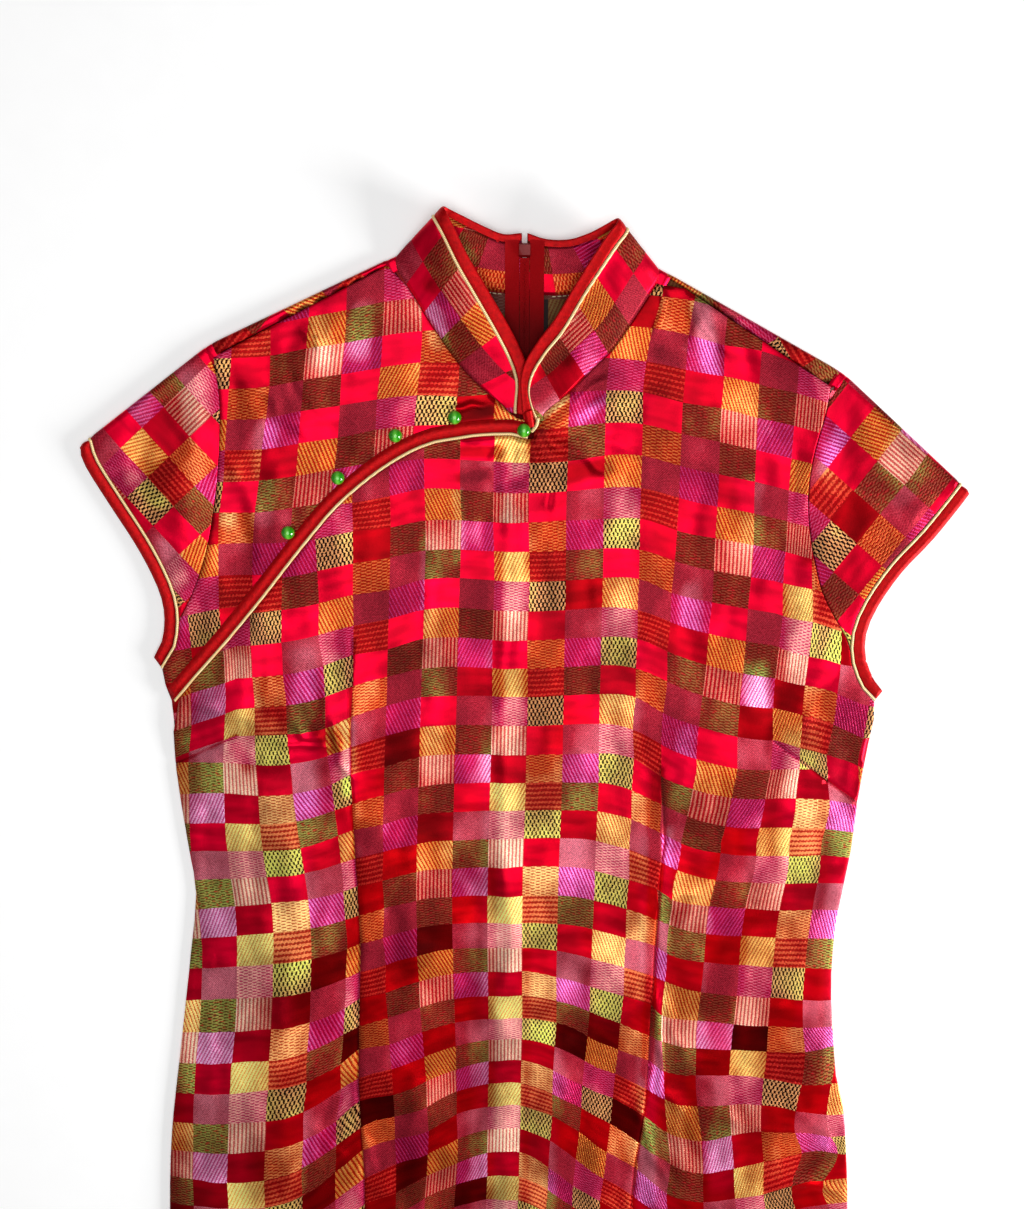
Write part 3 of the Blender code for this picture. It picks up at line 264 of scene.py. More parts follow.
# Where the cloth catches the light (or, below zero, turns from it): from one place in the
# frame to another, how wide and how much.
GLEAMS = [
    (228, 745, 228, 960, 52, 0.62), (222, 960, 222, 1240, 40, 0.66), (290, 740, 292, 960, 26, 0.5),
    (505, 760, 503, 1240, 21, 0.8), (540, 780, 536, 1240, 19, 0.35),
    (574, 760, 568, 980, 18, 0.42), (616, 690, 610, 1010, 20, 0.5), (648, 840, 646, 1000, 12, 0.4),
    (648, 1080, 646, 1200, 10, 0.8), (432, 545, 434, 770, 14, 0.5), (511, 520, 510, 740, 15, 0.6),
    (622, 500, 616, 700, 18, 0.5), (458, 490, 458, 560, 6, 0.6), (505, 485, 506, 530, 8, 0.5),
    (700, 298, 712, 372, 10, 0.9), (690, 590, 690, 650, 12, 0.6), (757, 670, 757, 720, 13, 0.9),
    (800, 580, 800, 680, 15, 0.7), (800, 740, 798, 900, 20, 0.5), (842, 770, 836, 1050, 12, 0.6),
    (720, 1130, 722, 1180, 16, 0.6), (683, 730, 680, 800, 12, 0.5),
    (735, 1000, 740, 1060, 12, 0.3), (306, 655, 306, 800, 14, 0.5), (212, 640, 214, 740, 16, 0.5),
    (246, 660, 250, 720, 14, 0.4), (336, 660, 338, 720, 12, 0.6), (266, 430, 262, 520, 12, 0.5),
    (320, 312, 322, 360, 12, 0.5), (361, 310, 360, 350, 12, 0.6), (492, 300, 500, 330, 8, 0.5),
    (230, 480, 226, 520, 10, 0.7), (192, 380, 196, 430, 14, 0.7), (168, 545, 178, 580, 12, 0.7),
    (132, 480, 160, 500, 10, 0.6), (905, 430, 890, 470, 14, 0.6), (930, 440, 900, 500, 12, 0.4),
    (848, 630, 830, 680, 14, 0.6), (752, 480, 750, 540, 12, 0.5), (515, 430, 520, 470, 10, 0.6),
    (430, 300, 440, 345, 10, 0.6), (455, 232, 470, 262, 8, 0.4), (545, 300, 575, 320, 8, 0.5),
    (560, 400, 530, 420, 9, 0.5), (462, 405, 488, 397, 4, 0.8), (462, 417, 492, 411, 6, -0.9),
    (462, 438, 494, 440, 4, 0.7), (462, 451, 496, 452, 6, -0.9), (566, 474, 606, 466, 9, -0.9),
    (533, 424, 565, 398, 4, 0.8), (541, 430, 568, 408, 5, -0.8), (580, 420, 606, 398, 5, 0.6),
    (845, 428, 826, 470, 9, 0.9), (349, 722, 350, 790, 7, 0.9), (190, 742, 212, 762, 9, 0.7),
    (236, 745, 248, 765, 8, -0.6), (318, 725, 338, 742, 8, -0.8), (460, 478, 486, 474, 6, -0.7),
    (500, 488, 522, 484, 5, -0.7), (215, 590, 240, 620, 12, -0.6), (700, 470, 730, 500, 14, -0.5),
    (655, 350, 680, 362, 8, -0.5), (820, 520, 812, 560, 12, -0.6), (540, 372, 570, 356, 8, -0.6),
    (430, 285, 445, 300, 8, -0.6), (656, 775, 648, 1090, 7, -0.7), (668, 830, 656, 1090, 6, 0.6),
    (500, 470, 500, 760, 5, -0.5), (494, 800, 490, 1240, 5, -0.5), (526, 880, 524, 1240, 5, -0.4),
    (390, 960, 400, 1240, 46, -0.5), (450, 900, 452, 1240, 20, -0.45),
    (400, 780, 398, 950, 40, -0.3), (585, 1040, 578, 1240, 22, -0.5),
    (620, 1060, 612, 1240, 16, -0.3), (328, 960, 322, 1240, 16, -0.4),
    (728, 830, 722, 1060, 18, -0.45), (700, 1080, 690, 1240, 14, -0.3),
    (800, 1080, 800, 1240, 22, -0.3), (400, 430, 396, 760, 20, -0.25),
    (560, 470, 556, 740, 18, -0.25), (670, 400, 660, 700, 16, -0.25),
    (780, 1000, 775, 1200, 14, -0.25), (480, 560, 470, 760, 10, -0.2),
    (860, 500, 850, 600, 14, -0.2),
]

# ------------------------------------------------------------------ collar, in the plan
COLLAR = {
    -1: [(-1.6, -15.3, 0.65, -1.7, 21.0, 6.6, 0), (-20, -14.3, 0.65, -14, 20.5, 6.4, 0),
         (-45, -9.0, 0.65, -27, 25.5, 8.4, 0), (-66, -2.0, 0.65, -39, 31.0, 10.8, 0),
         (-79, 2.6, 0.75, -46.5, 34.4, 13.2, 0), (-84, 4.2, 2.4, -50.5, 36.0, 17, 0.4),
         (-80.5, -2.0, 4.2, -49, 32.5, 20.5, 0.8), (-74.5, -11.5, 4.2, -44.5, 24, 21, 1.2),
         (-65, -26.6, 4.2, -36, 7, 20, 1.6), (-54.3, -42.9, 4.2, -24, -13, 17, 1.6),
         (-42.5, -59.5, 4.2, -10.4, -35.8, 13, 1.6), (-32.6, -70.5, 4.2, -1.0, -54, 9.4, 1.2),
         (-22.5, -79.5, 4.2, 3.0, -67, 7.4, 0.6), (-14.5, -86.0, 4.2, 3.0, -80, 6.4, 0.2),
         (-9.6, -91.0, 4.2, 3.0, -94, 5.4, 0)],
    1: [(1.6, -15.3, 0.65, 1.7, 21.0, 6.6, 0), (20, -16.5, 0.65, 14, 17.4, 6.0, 0),
        (45, -13.5, 0.65, 28, 17, 8.4, 0), (66, -8.5, 0.65, 40, 20.3, 11.6, 0),
        (81, -4.6, 0.75, 49, 24.5, 15, 0), (87.5, -3.4, 2.4, 57, 28.5, 19, 0.4),
        (84.5, -9.6, 4.2, 57.3, 26.0, 22.5, 0.8), (80, -16.5, 4.2, 51, 18, 22.5, 1.2),
        (67.6, -35.7, 4.2, 39.3, 0.7, 21, 1.6), (57.5, -50, 4.2, 31.4, -11.9, 19.5, 1.6),
        (43, -64.4, 4.4, 19.3, -31.8, 17, 1.6), (28.4, -79, 5.2, 9.1, -45, 15, 1.2),
        (18, -87, 5.7, 0.9, -58.2, 13.4, 0.6), (13, -91.5, 5.7, -2.3, -69.5, 12.2, 0.2),
        (12, -94, 5.7, -1.8, -82, 11, 0), (12.4, -96.4, 6.0, -0.4, -96.4, 9.6, 0)],
}
# Weave row at a place on each collar's outside, and which way the rows then count.
COLLAR_ROWS = {-1: (0.2, 423.0, 252.0, -1.0), 1: (3.8, 631.0, 263.0, 1.0)}
INSIDE_ROWS = {-1: 4.31, 1: 2.22}        # weave row at the centre back, inside
NAMES = {-1: "left", 1: "right"}

# ------------------------------------------------------------------ the brocade's repeat
# One repeat of squares across and along. A small letter leans the other way.
REPEAT = (8.0, 4.0)
CHART = ("S M R H S g M p",
         "g O V S M R T S",
         "V P S B p H S O",
         "O S G T O S B M")
# Of each weave: its ground and figure turned from the light, and again where they catch it.
# Two waves, in turns a millimetre across and along, make the figure. The first sways by a
# ripple, and the second has a share. A level sets how much figure shows, with soft edges.
WEAVE_COLUMNS = ("ground", "figure", "lit_ground", "lit_figure", "first_x", "first_y",
                 "second_x", "second_y", "ripple", "turns", "share", "level", "soft",
                 "fleck", "rough", "metal", "relief")
WEAVES = {
    # Satin's ground and figure are its darker and brighter painted sheen, picked per square.
    "S": ("400000", "C00008", "A40008", "DC002C",
          0, 0, 0, 0, 0, 0, 0, 0.5, 0.5, 0, 0.31, 0.62, 0),
    "M": ("84081C", "B82C40", "94283C", "D07484",
          0.8, 0.62, 0.8, -0.62, 0, 0, 1, 0, 0.4, 0, 0.4, 0.4, 0.3),
    "R": ("A80030", "D03C6C", "C83060", "FFB8A8",
          0.16, 0.5, 0.16, -0.5, 0, 0, 1, 0.1, 0.45, 0, 0.38, 0.45, 0.7),
    "H": ("0C0302", "E09C64", "1C1C06", "E0E868",
          0.36, 0.165, 0.36, -0.165, 0, 0, 1, 0.05, 0.12, 0, 0.38, 0.4, 1),
    "g": ("B41C08", "E88838", "D06028", "FFD880",
          0.4, -0.18, 0.2, 0.62, 0, 0, 0.4, 0, 0.28, 0, 0.34, 0.5, 0.8),
    "G": ("AC2004", "E08438", "E09C44", "FFF08C",
          0.4, 0.18, 0.2, -0.62, 0, 0, 0.4, 0, 0.28, 0, 0.34, 0.5, 0.8),
    "p": ("A40030", "C42C68", "BC1C6C", "F88CE0",
          0.4, -0.18, 0.2, 0.62, 0, 0, 0.3, 0.2, 0.35, 0, 0.34, 0.5, 0.8),
    "P": ("AC0838", "C83074", "D05090", "FFB8E4",
          0.4, 0.18, 0.2, -0.62, 0, 0, 0.3, 0.15, 0.35, 0, 0.34, 0.5, 0.8),
    "O": ("6C0A06", "883C28", "503814", "94A04C",
          0.14, 0.52, 0.14, -0.52, 0, 0, 1, 0.1, 0.4, 1, 0.42, 0.35, 0.7),
    "V": ("AC0818", "E07864", "D46860", "FFDCBC",
          0.38, 0, 0.19, 0.7, 0, 0, 0.3, 0.15, 0.3, 0, 0.38, 0.42, 0.9),
    "T": ("940006", "CC2820", "A02818", "E88850",
          0, 0.27, 0.38, 0.135, 0, 0, 0.45, 0.2, 0.35, 0, 0.38, 0.4, 1),
    "B": ("A40C00", "DC6430", "B85028", "FFD084",
          0.14, 0.46, 0.14, -0.46, 0, 0, 1, 0, 0.35, 0, 0.36, 0.45, 0.8),
}
FLECK = "B81424"


def srgb(code):
    """A colour code as the shader's own numbers."""
    parts = [int(code[i:i + 2], 16) / 255 for i in (0, 2, 4)]
    return tuple(c / 12.92 if c <= 0.04045 else ((c + 0.055) / 1.055) ** 2.4
                 for c in parts) + (1.0,)


# ------------------------------------------------------------------ nodes
class Bench:
    """Adds nodes to a tree and joins them."""

    def __init__(self, tree):
        self.tree = tree

    def add(self, kind, **settings):
        node = self.tree.nodes.new(kind)
        for key, value in settings.items():
            setattr(node, key, value)
        return node

    def join(self, value, socket):
        if isinstance(value, bpy.types.NodeSocket):
            self.tree.links.new(value, socket)
        else:
            socket.default_value = value

    def calc(self, operation, *values, clamp=False):
        node = self.add("ShaderNodeMath", operation=operation, use_clamp=clamp)
        for value, socket in zip(values, node.inputs):
            self.join(value, socket)
        return node.outputs[0]

    def times(self, value, factor, clamp=False):
        return self.calc("MULTIPLY", value, factor, clamp=clamp)

    def plus(self, value, more):
        return self.calc("ADD", value, more)

    def scaled(self, value, factor, offset):
        return self.calc("MULTIPLY_ADD", value, factor, offset)

    def mix(self, share, low, high, kind="RGBA"):
        node = self.add("ShaderNodeMix", data_type=kind)
        first, out = {"RGBA": (6, 2), "FLOAT": (2, 0)}[kind]
        for value, socket in zip((share, low, high), (0, first, first + 1)):
            self.join(value, node.inputs[socket])
        return node.outputs[out]

    def split(self, value):
        node = self.add("ShaderNodeSeparateXYZ")
        self.join(value, node.inputs[0])
        return node.outputs[:3]

    def place(self, x, y, z=0.0):
        node = self.add("ShaderNodeCombineXYZ")
        for value, socket in zip((x, y, z), node.inputs):
            self.join(value, socket)
        return node.outputs[0]

    def band(self, value, low, high, out_low=0.0, out_high=1.0):
        node = self.add("ShaderNodeMapRange", interpolation_type="SMOOTHSTEP")
        for v, socket in zip((value, low, high, out_low, out_high), node.inputs):
            self.join(v, socket)
        return node.outputs[0]

    def speckle(self, vector, scale, detail=2.0, roughness=0.5):
        node = self.add("ShaderNodeTexNoise")
        self.join(vector, node.inputs["Vector"])
        node.inputs["Scale"].default_value = scale
        node.inputs["Detail"].default_value = detail
        node.inputs["Roughness"].default_value = roughness
        return node.outputs["Fac"]

    def pick(self, number, entries):
        """One colour of several, by a whole number."""
        node = self.add("ShaderNodeValToRGB")
        ramp = node.color_ramp
        ramp.interpolation = "CONSTANT"
        ramp.elements.remove(ramp.elements[1])
        ramp.elements[0].position = 0.0
        ramp.elements[0].color = entries[0]
        for i in range(1, len(entries)):
            ramp.elements.new(i / len(entries)).color = entries[i]
        share = self.calc("DIVIDE", self.plus(number, 0.5), float(len(entries)))
        self.join(share, node.inputs[0])
        return node.outputs[0]

    def pick_values(self, number, rows):
        """Three values from -1 to 1 for each whole number."""
        colours = [tuple((v + 1) / 2 for v in row) + (1.0,) for row in rows]
        return [self.scaled(v, 2.0, -1.0) for v in self.split(self.pick(number, colours))]


def new_group(name, inputs, outputs):
    """A shader node group with named sockets, its bench, and its ends."""
    tree = bpy.data.node_groups.new(name, "ShaderNodeTree")
    for label, kind in inputs:
        tree.interface.new_socket(label, in_out="INPUT", socket_type=f"NodeSocket{kind}")
    for label, kind in outputs:
        tree.interface.new_socket(label, in_out="OUTPUT", socket_type=f"NodeSocket{kind}")
    bench = Bench(tree)
    return tree, bench, bench.add("NodeGroupInput"), bench.add("NodeGroupOutput")


def brocade_group():
    """The brocade's weave at a place on its lattice, with painted sheen and shade from the light
    it is given.
    """
    tree, b, start, end = new_group(
        "brocade_weave", [("Lattice", "Vector"), ("Light", "Float")],
        [("Color", "Color"), ("Reverse", "Color"), ("Roughness", "Float"),
         ("Metallic", "Float"), ("Height", "Float")])
    across, along, _ = b.split(start.outputs["Lattice"])
    column = b.calc("FLOORED_MODULO", b.calc("FLOOR", across), REPEAT[0])
    row = b.calc("FLOORED_MODULO", b.calc("FLOOR", along), REPEAT[1])
    names = list(WEAVES)
    chart = [names.index(n) for line in CHART for n in line.split()]
    cell = b.scaled(row, REPEAT[0], column)
    weave = b.split(b.pick(cell, [(n / 16, 0, 0, 1) for n in chart]))[0]
    weave = b.calc("ROUND", b.times(weave, 16.0))
    facts = dict(zip(WEAVE_COLUMNS, zip(*WEAVES.values())))

    def numbers(*columns):
        return b.pick_values(weave, zip(*(facts[c] for c in columns)))

    def tones(column):
        return b.pick(weave, [srgb(code) for code in facts[column]])

    s = b.times(across, SQUARE[0])
    t = b.times(along, SQUARE[1])
    first_x, first_y, second_x = numbers("first_x", "first_y", "second_x")
    second_y, ripple, turns = numbers("second_y", "ripple", "turns")
    share, level, soft = numbers("share", "level", "soft")
    fleck, rough, metal = numbers("fleck", "rough", "metal")
    relief = numbers("relief", "relief", "relief")[0]

    def wave(x, y, extra=0.0):
        turn = b.plus(b.scaled(s, x, b.times(t, y)), extra)
        return b.calc("COSINE", b.times(turn, 2 * math.pi))

    sway = b.calc("SINE", b.times(b.times(s, turns), 2 * math.pi))
    first = wave(first_x, first_y, b.times(sway, ripple))
    second = b.times(wave(second_x, second_y), share)
    value = b.calc("DIVIDE", b.plus(first, second), b.plus(share, 1.0))
    fuzz = b.speckle(b.place(b.times(s, 0.7), b.times(t, 1.2)), 1.0, 1.0)
    satin = b.calc("COMPARE", weave, 0.0, 0.5)
    woven = b.calc("SUBTRACT", 1.0, satin)
    value = b.plus(value, b.times(b.scaled(fuzz, 2.6, -1.3), woven))
    spot = b.add("ShaderNodeTexWhiteNoise", noise_dimensions="2D")
    b.join(b.place(b.calc("FLOOR", across), b.calc("FLOOR", along)), spot.inputs["Vector"])
    # Painted sheen: each satin square takes a random share of its brighter tone, as if it caught
    # more or less light.
    satin_square_sheen = b.scaled(spot.outputs["Value"], 2.4, -0.95)
    value = b.plus(value, b.times(satin_square_sheen, satin))

    # Painted shade: satin darkens lower down, and only further down at the far left; the other
    # yarns show a paler tone where they catch light, painted too.
    drift = b.scaled(b.speckle(b.place(across, along), 0.35, 1.0), 7.0, -3.5)
    late = b.band(across, -3.6, -5.4, 0.0, 9.0)
    lower = b.band(b.calc("SUBTRACT", b.plus(along, drift), late), 6.0, 15.0)
    # Painted sheen: soft patches and a jitter per square are added to the given light.
    sheen_patches = b.speckle(b.place(across, b.times(along, 0.45)), 0.75, 2.0, 0.6)
    light = b.plus(start.outputs["Light"], b.band(sheen_patches, 0.34, 0.68, -0.2, 0.25))
    light = b.plus(light, b.scaled(spot.outputs["Value"], 0.24, -0.12))
    light = b.times(light, 1.0, clamp=True)
    # Painted light: where lit, more figure shows and the lit tones mix in; satin's painted sheen
    # follows the given light and fades lower down.
    level = b.calc("SUBTRACT", level, b.times(b.times(light, 0.3), woven))
    figure = b.band(value, b.calc("SUBTRACT", level, soft), b.plus(level, soft))
    satin_sheen = b.scaled(start.outputs["Light"], 0.7, b.calc("SUBTRACT", 0.93, lower))
    light = b.mix(satin, light, b.times(satin_sheen, 1.0, clamp=True), "FLOAT")
    ground = b.mix(light, tones("ground"), tones("lit_ground"))
    thread = b.mix(light, tones("figure"), tones("lit_figure"))
    flecks = b.speckle(b.place(b.times(s, 0.5), b.times(t, 1.6)), 0.55, 1.0)
    flecks = b.times(b.band(flecks, 0.54, 0.66), fleck)
    thread = b.mix(b.times(flecks, 0.85), thread, srgb(FLECK))
    cloth = b.mix(figure, ground, thread)
    stray = b.times(b.band(fuzz, 0.5, 0.75, 0.0, 0.3), woven)
    cloth = b.mix(stray, cloth, srgb("B4000E"))
    grain = b.speckle(b.place(s, b.times(t, 1.6), 7.0), 0.9, 1.0)
    shade = b.add("ShaderNodeVectorMath", operation="SCALE")
    b.join(cloth, shade.inputs[0])
    # Painted light and shade scale the colour: per square, in soft patches, and in fine streaks on
    # satin.
    each = b.scaled(spot.outputs["Value"], 0.3, 0.85)
    strong = b.scaled(satin, -0.3, 1.0)
    painted_light_scale = b.scaled(b.band(sheen_patches, 0.36, 0.66, -0.3, 0.3), strong, 1.0)
    sheen = b.speckle(b.place(b.times(across, 0.8), b.times(along, 2.6)), 1.0, 1.0)
    # For satin this carries painted sheen streaks; for the other yarns, their own grain.
    grain = b.mix(satin, b.band(grain, 0.3, 0.7, 0.8, 1.2), b.band(sheen, 0.3, 0.7, 0.75, 1.2),
                  "FLOAT")
    painted_light_scale = b.times(painted_light_scale, grain)
    # Painted light: the other yarns are brightened lower down.
    even = b.mix(lower, 0.94, 1.08, "FLOAT")
    painted_light_scale = b.times(painted_light_scale, b.mix(satin, even, 1.0, "FLOAT"))
    # Painted shade: all darken where the given light is below zero, as along seams and creases.
    painted_light_scale = b.times(painted_light_scale, b.band(start.outputs["Light"], -0.9, 0.0, 0.55, 1.0))
    b.join(b.times(painted_light_scale, each), shade.inputs["Scale"])
    b.join(shade.outputs[0], end.inputs["Color"])
    dark = b.mix(0.86, cloth, srgb("3A270E"))
    b.join(b.mix(satin, dark, srgb("1C0706")), end.inputs["Reverse"])
    b.join(b.plus(rough, b.scaled(fuzz, 0.12, -0.06)), end.inputs["Roughness"])
    b.join(metal, end.inputs["Metallic"])
    thread_line = b.calc("COSINE", b.times(t, 2 * math.pi * 2.3))
    height = b.scaled(b.times(figure, relief), 1.0, b.times(thread_line, 0.06))
    b.join(b.scaled(fuzz, 0.25, height), end.inputs["Height"])
    return tree


def new_material(name):
    """A material with a Principled shader, its bench and the shader."""
    material = bpy.data.materials.new(name)
    material.use_nodes = True
    tree = material.node_tree
    return material, Bench(tree), tree.nodes["Principled BSDF"]


def relief(bench, shader, height, distance, strength=1.0):
    """Feeds a height to the shader's normal."""
    bump = bench.add("ShaderNodeBump")
    bump.inputs["Strength"].default_value = strength
    bump.inputs["Distance"].default_value = distance
    bench.join(height, bump.inputs["Height"])
    bench.join(bump.outputs[0], shader.inputs["Normal"])


def brocade_material(group, name, reverse=False):
    material, b, shader = new_material(name)
    lattice = b.add("ShaderNodeUVMap", uv_map="lattice")
    weave = b.add("ShaderNodeGroup", node_tree=group)
    b.join(lattice.outputs[0], weave.inputs[0])
    # The light layer carries painted sheen and shade into the weave's colour.
    light = b.split(b.add("ShaderNodeUVMap", uv_map="light").outputs[0])[0]
    b.join(light, weave.inputs["Light"])
    b.join(weave.outputs["Reverse" if reverse else "Color"], shader.inputs["Base Color"])
    b.join(weave.outputs["Roughness"], shader.inputs["Roughness"])
    if not reverse:
        b.join(weave.outputs["Metallic"], shader.inputs["Metallic"])
    shader.inputs["Specular IOR Level"].default_value = 0.05
    relief(b, shader, weave.outputs["Height"], 0.00014, 0.9)
    return material


def yarn_place(bench):
    """Object coordinates in millimetres."""
    node = bench.add("ShaderNodeTexCoord")
    scale = bench.add("ShaderNodeVectorMath", operation="SCALE")
    bench.join(node.outputs["Object"], scale.inputs[0])
    scale.inputs["Scale"].default_value = 1000.0
    return scale.outputs[0]


def satin_material(name, light, dark, rough=0.38, metal=0.55):
    """Bias-cut satin with fine slanting threads and small puckers, its colour painted darker in
    their hollows.
    """
    material, b, shader = new_material(name)
    spot = yarn_place(b)
    x, y, z = b.split(spot)
    bias = b.calc("SINE", b.times(b.plus(b.plus(x, y), z), 9.0))
    pucker = b.speckle(spot, 0.35, 3.0)
    # Painted shade: the colour follows the puckers, darker in their hollows and paler on their
    # crowns.
    colour = b.mix(b.band(pucker, 0.1, 0.9), srgb(dark), srgb(light))
    b.join(colour, shader.inputs["Base Color"])
    b.join(b.band(b.speckle(spot, 1.1, 2.0), 0.2, 0.8, rough - 0.06, rough + 0.1),
           shader.inputs["Roughness"])
    shader.inputs["Metallic"].default_value = metal
    shader.inputs["Specular IOR Level"].default_value = 0.2
    height = b.scaled(bias, 0.12, b.times(pucker, 0.8))
    relief(b, shader, height, 0.0003, 0.6)
    return material


def piping_material():
    """Twisted gold cord, painted darker in the grooves of its twist."""
    material, b, shader = new_material("gold_piping")
    spot = yarn_place(b)
    x, y, z = b.split(spot)
    twist = b.calc("SINE", b.times(b.plus(b.calc("SUBTRACT", x, y), z), 4.4))
    # Painted shade: the colour follows the twist, darker in its grooves.
    b.join(b.mix(b.band(twist, -1.0, 0.6), srgb("E4B878"), srgb("FBE2A8")),
           shader.inputs["Base Color"])
    b.join(b.band(b.speckle(spot, 1.4), 0.3, 0.7, 0.36, 0.5), shader.inputs["Roughness"])
    shader.inputs["Metallic"].default_value = 0.1
    relief(b, shader, twist, 0.00015, 0.6)
    return material


def bead_material():
    """Green cat's-eye glass with its pale band."""
    material, b, shader = new_material("green_bead")
    spot = b.add("ShaderNodeUVMap", uv_map="lattice").outputs[0]
    x, _, _ = b.split(spot)
    swirl = b.speckle(spot, 2.2, 2.0)
    band = b.band(b.calc("ABSOLUTE", b.plus(x, b.scaled(swirl, 0.3, -0.15))), 0.0, 0.5, 1.0, 0.0)
    b.join(b.mix(band, srgb("1C8A0C"), srgb("68CC3C")), shader.inputs["Base Color"])
    b.join(b.band(swirl, 0.2, 0.8, 0.08, 0.16), shader.inputs["Roughness"])
    shader.inputs["Coat Weight"].default_value = 0.6
    shader.inputs["Coat Roughness"].default_value = 0.04
    shader.inputs["Subsurface Weight"].default_value = 0.15
    shader.inputs["Subsurface Radius"].default_value = (0.4, 1.0, 0.3)
    shader.inputs["Subsurface Scale"].default_value = 0.002
    relief(b, shader, swirl, 0.00008, 0.4)
    return material


def tape_material():
    """Woven zip tape, painted darker in the hollows of its weave and deep in the collar's V."""
    material, b, shader = new_material("zip_tape_weave")
    spot = yarn_place(b)
    x, y, _ = b.split(spot)
    rib = b.times(b.calc("SINE", b.times(x, 7.0)), b.calc("SINE", b.times(y, 9.0)))
    # Painted shade: darker where the rib is low, and darkening from y 452 mm down to 412 mm, deep
    # in the collar's V.
    deep = b.band(y, 412.0, 452.0, 0.8, 0.0)
    b.join(b.mix(deep, b.mix(b.band(rib, -0.8, 0.9), srgb("980006"), srgb("C80410")),
                 srgb("480002")), shader.inputs["Base Color"])
    b.join(b.band(b.speckle(spot, 0.8), 0.3, 0.7, 0.6, 0.75), shader.inputs["Roughness"])
    shader.inputs["Specular IOR Level"].default_value = 0.15
    relief(b, shader, rib, 0.0002, 0.8)
    return material


def enamel_material():
    """Lacquered zip metal, rubbed in patches."""
    material, b, shader = new_material("zip_enamel")
    spot = yarn_place(b)
    rub = b.speckle(spot, 0.7, 4.0, 0.65)
    b.join(b.mix(b.band(rub, 0.62, 0.75), srgb("700004"), srgb("980C0C")),
           shader.inputs["Base Color"])
    b.join(b.band(rub, 0.3, 0.8, 0.42, 0.6), shader.inputs["Roughness"])
    shader.inputs["Metallic"].default_value = 0.3
    shader.inputs["Specular IOR Level"].default_value = 0.3
    shader.inputs["Coat Weight"].default_value = 0.15
    relief(b, shader, rub, 0.00005, 0.5)
    return material


def floor_material():
    material, b, shader = new_material("paper_floor")
    spot = yarn_place(b)
    grain = b.speckle(spot, 0.05, 3.0)
    b.join(b.mix(grain, srgb("FAFAFA"), srgb("FFFFFF")), shader.inputs["Base Color"])
    shader.inputs["Roughness"].default_value = 0.9
    shader.inputs["Specular IOR Level"].default_value = 0.1
    shader.inputs["Emission Color"].default_value = (1, 1, 1, 1)
    shader.inputs["Emission Strength"].default_value = FLOOR_GLOW
    return material


# ------------------------------------------------------------------ flat work
CREASE_STEP = 1.7                       # between points along a narrow crease
EDGE_CLEAR = 2.5                        # from the outline, where these points may start
OUTLINE_STEP = 1.5                      # between points of an outline that is moved
BORDERS = (0.8, 1.9)                    # rows of points inside an outline
CORD_BORDER = (0.25,)
STRIP_BORDERS = (0.5, 1.2)


def path_distance(points, path):
    """Least distance from each point to a chain of straight stretches."""
    best = np.full(len(points), 1e9)
    for a, b in zip(path[:-1], path[1:]):
        run = b - a
        t = np.clip(((points - a) @ run) / max(run @ run, 1e-9), 0, 1)
        gap = points - a - t[:, None] * run
        best = np.minimum(best, gap[:, 0] ** 2 + gap[:, 1] ** 2)
    return np.sqrt(best)


def inside(points, loop):
    """Which points lie in a closed loop."""
    hit = np.zeros(len(points), bool)
    x, y = points.T
    for a, b in zip(loop, np.roll(loop, -1, 0)):
        if a[1] != b[1]:
            crosses = (a[1] > y) != (b[1] > y)
            hit ^= crosses & (x < a[0] + (y - a[1]) / (b[1] - a[1]) * (b[0] - a[0]))
    return hit


def spaced(path, spacing, closed=False):
    """The path with more points, no further apart than the spacing."""
    if closed:
        path = np.vstack([path, path[:1]])
    out = []
    for a, b in zip(path[:-1], path[1:]):
        steps = max(1, int(math.ceil(np.hypot(*(b - a)) / spacing)))
        out += [a + (b - a) * i / steps for i in range(steps)]
    return np.array(out if closed else out + [path[-1]])


def wound(path, spacing):
    """A closed outline, anticlockwise with close points, and the way in at each of them."""
    loop = spaced(path, spacing, closed=True)
    x, y = loop.T
    if np.sum(x * np.roll(y, -1) - y * np.roll(x, -1)) < 0:
        loop = loop[::-1]
    run = np.roll(loop, -1, 0) - np.roll(loop, 1, 0)
    return loop, np.column_stack([-run[:, 1], run[:, 0]]) / np.hypot(*run.T)[:, None]


def widened(path, distance):
    """A closed outline moved outwards."""
    loop, inward = wound(path, OUTLINE_STEP)
    return loop - inward * distance


def staggered(low, high, spacing, rise):
    """Corners of even triangles over a rectangle."""
    rows = []
    for j, y in enumerate(np.arange(low[1], high[1], rise)):
        x = np.arange(low[0] + spacing * 0.5 * (j % 2), high[0], spacing)
        rows.append(np.column_stack([x, np.full(len(x), y)]))
    return np.vstack(rows)


def closer(grid, a, b, width, loop):
    """The points with closer ones along a narrow crease in place of those there."""
    run = b - a
    side = np.array((-run[1], run[0])) / np.hypot(*run)
    steps = np.linspace(-0.1, 1.1, int(np.hypot(*run) / CREASE_STEP) + 3)
    patch = np.array([a + run * t + side * width * q for t in steps
                      for q in np.arange(-2.0, 2.01, 0.5)])
    patch = patch[inside(patch, loop)]
    patch = patch[path_distance(patch, np.vstack([loop, loop[:1]])) > EDGE_CLEAR]
    if not len(patch):
        return grid
    return np.vstack([grid[path_distance(grid, np.array([a, b])) > 2.3 * width], patch])


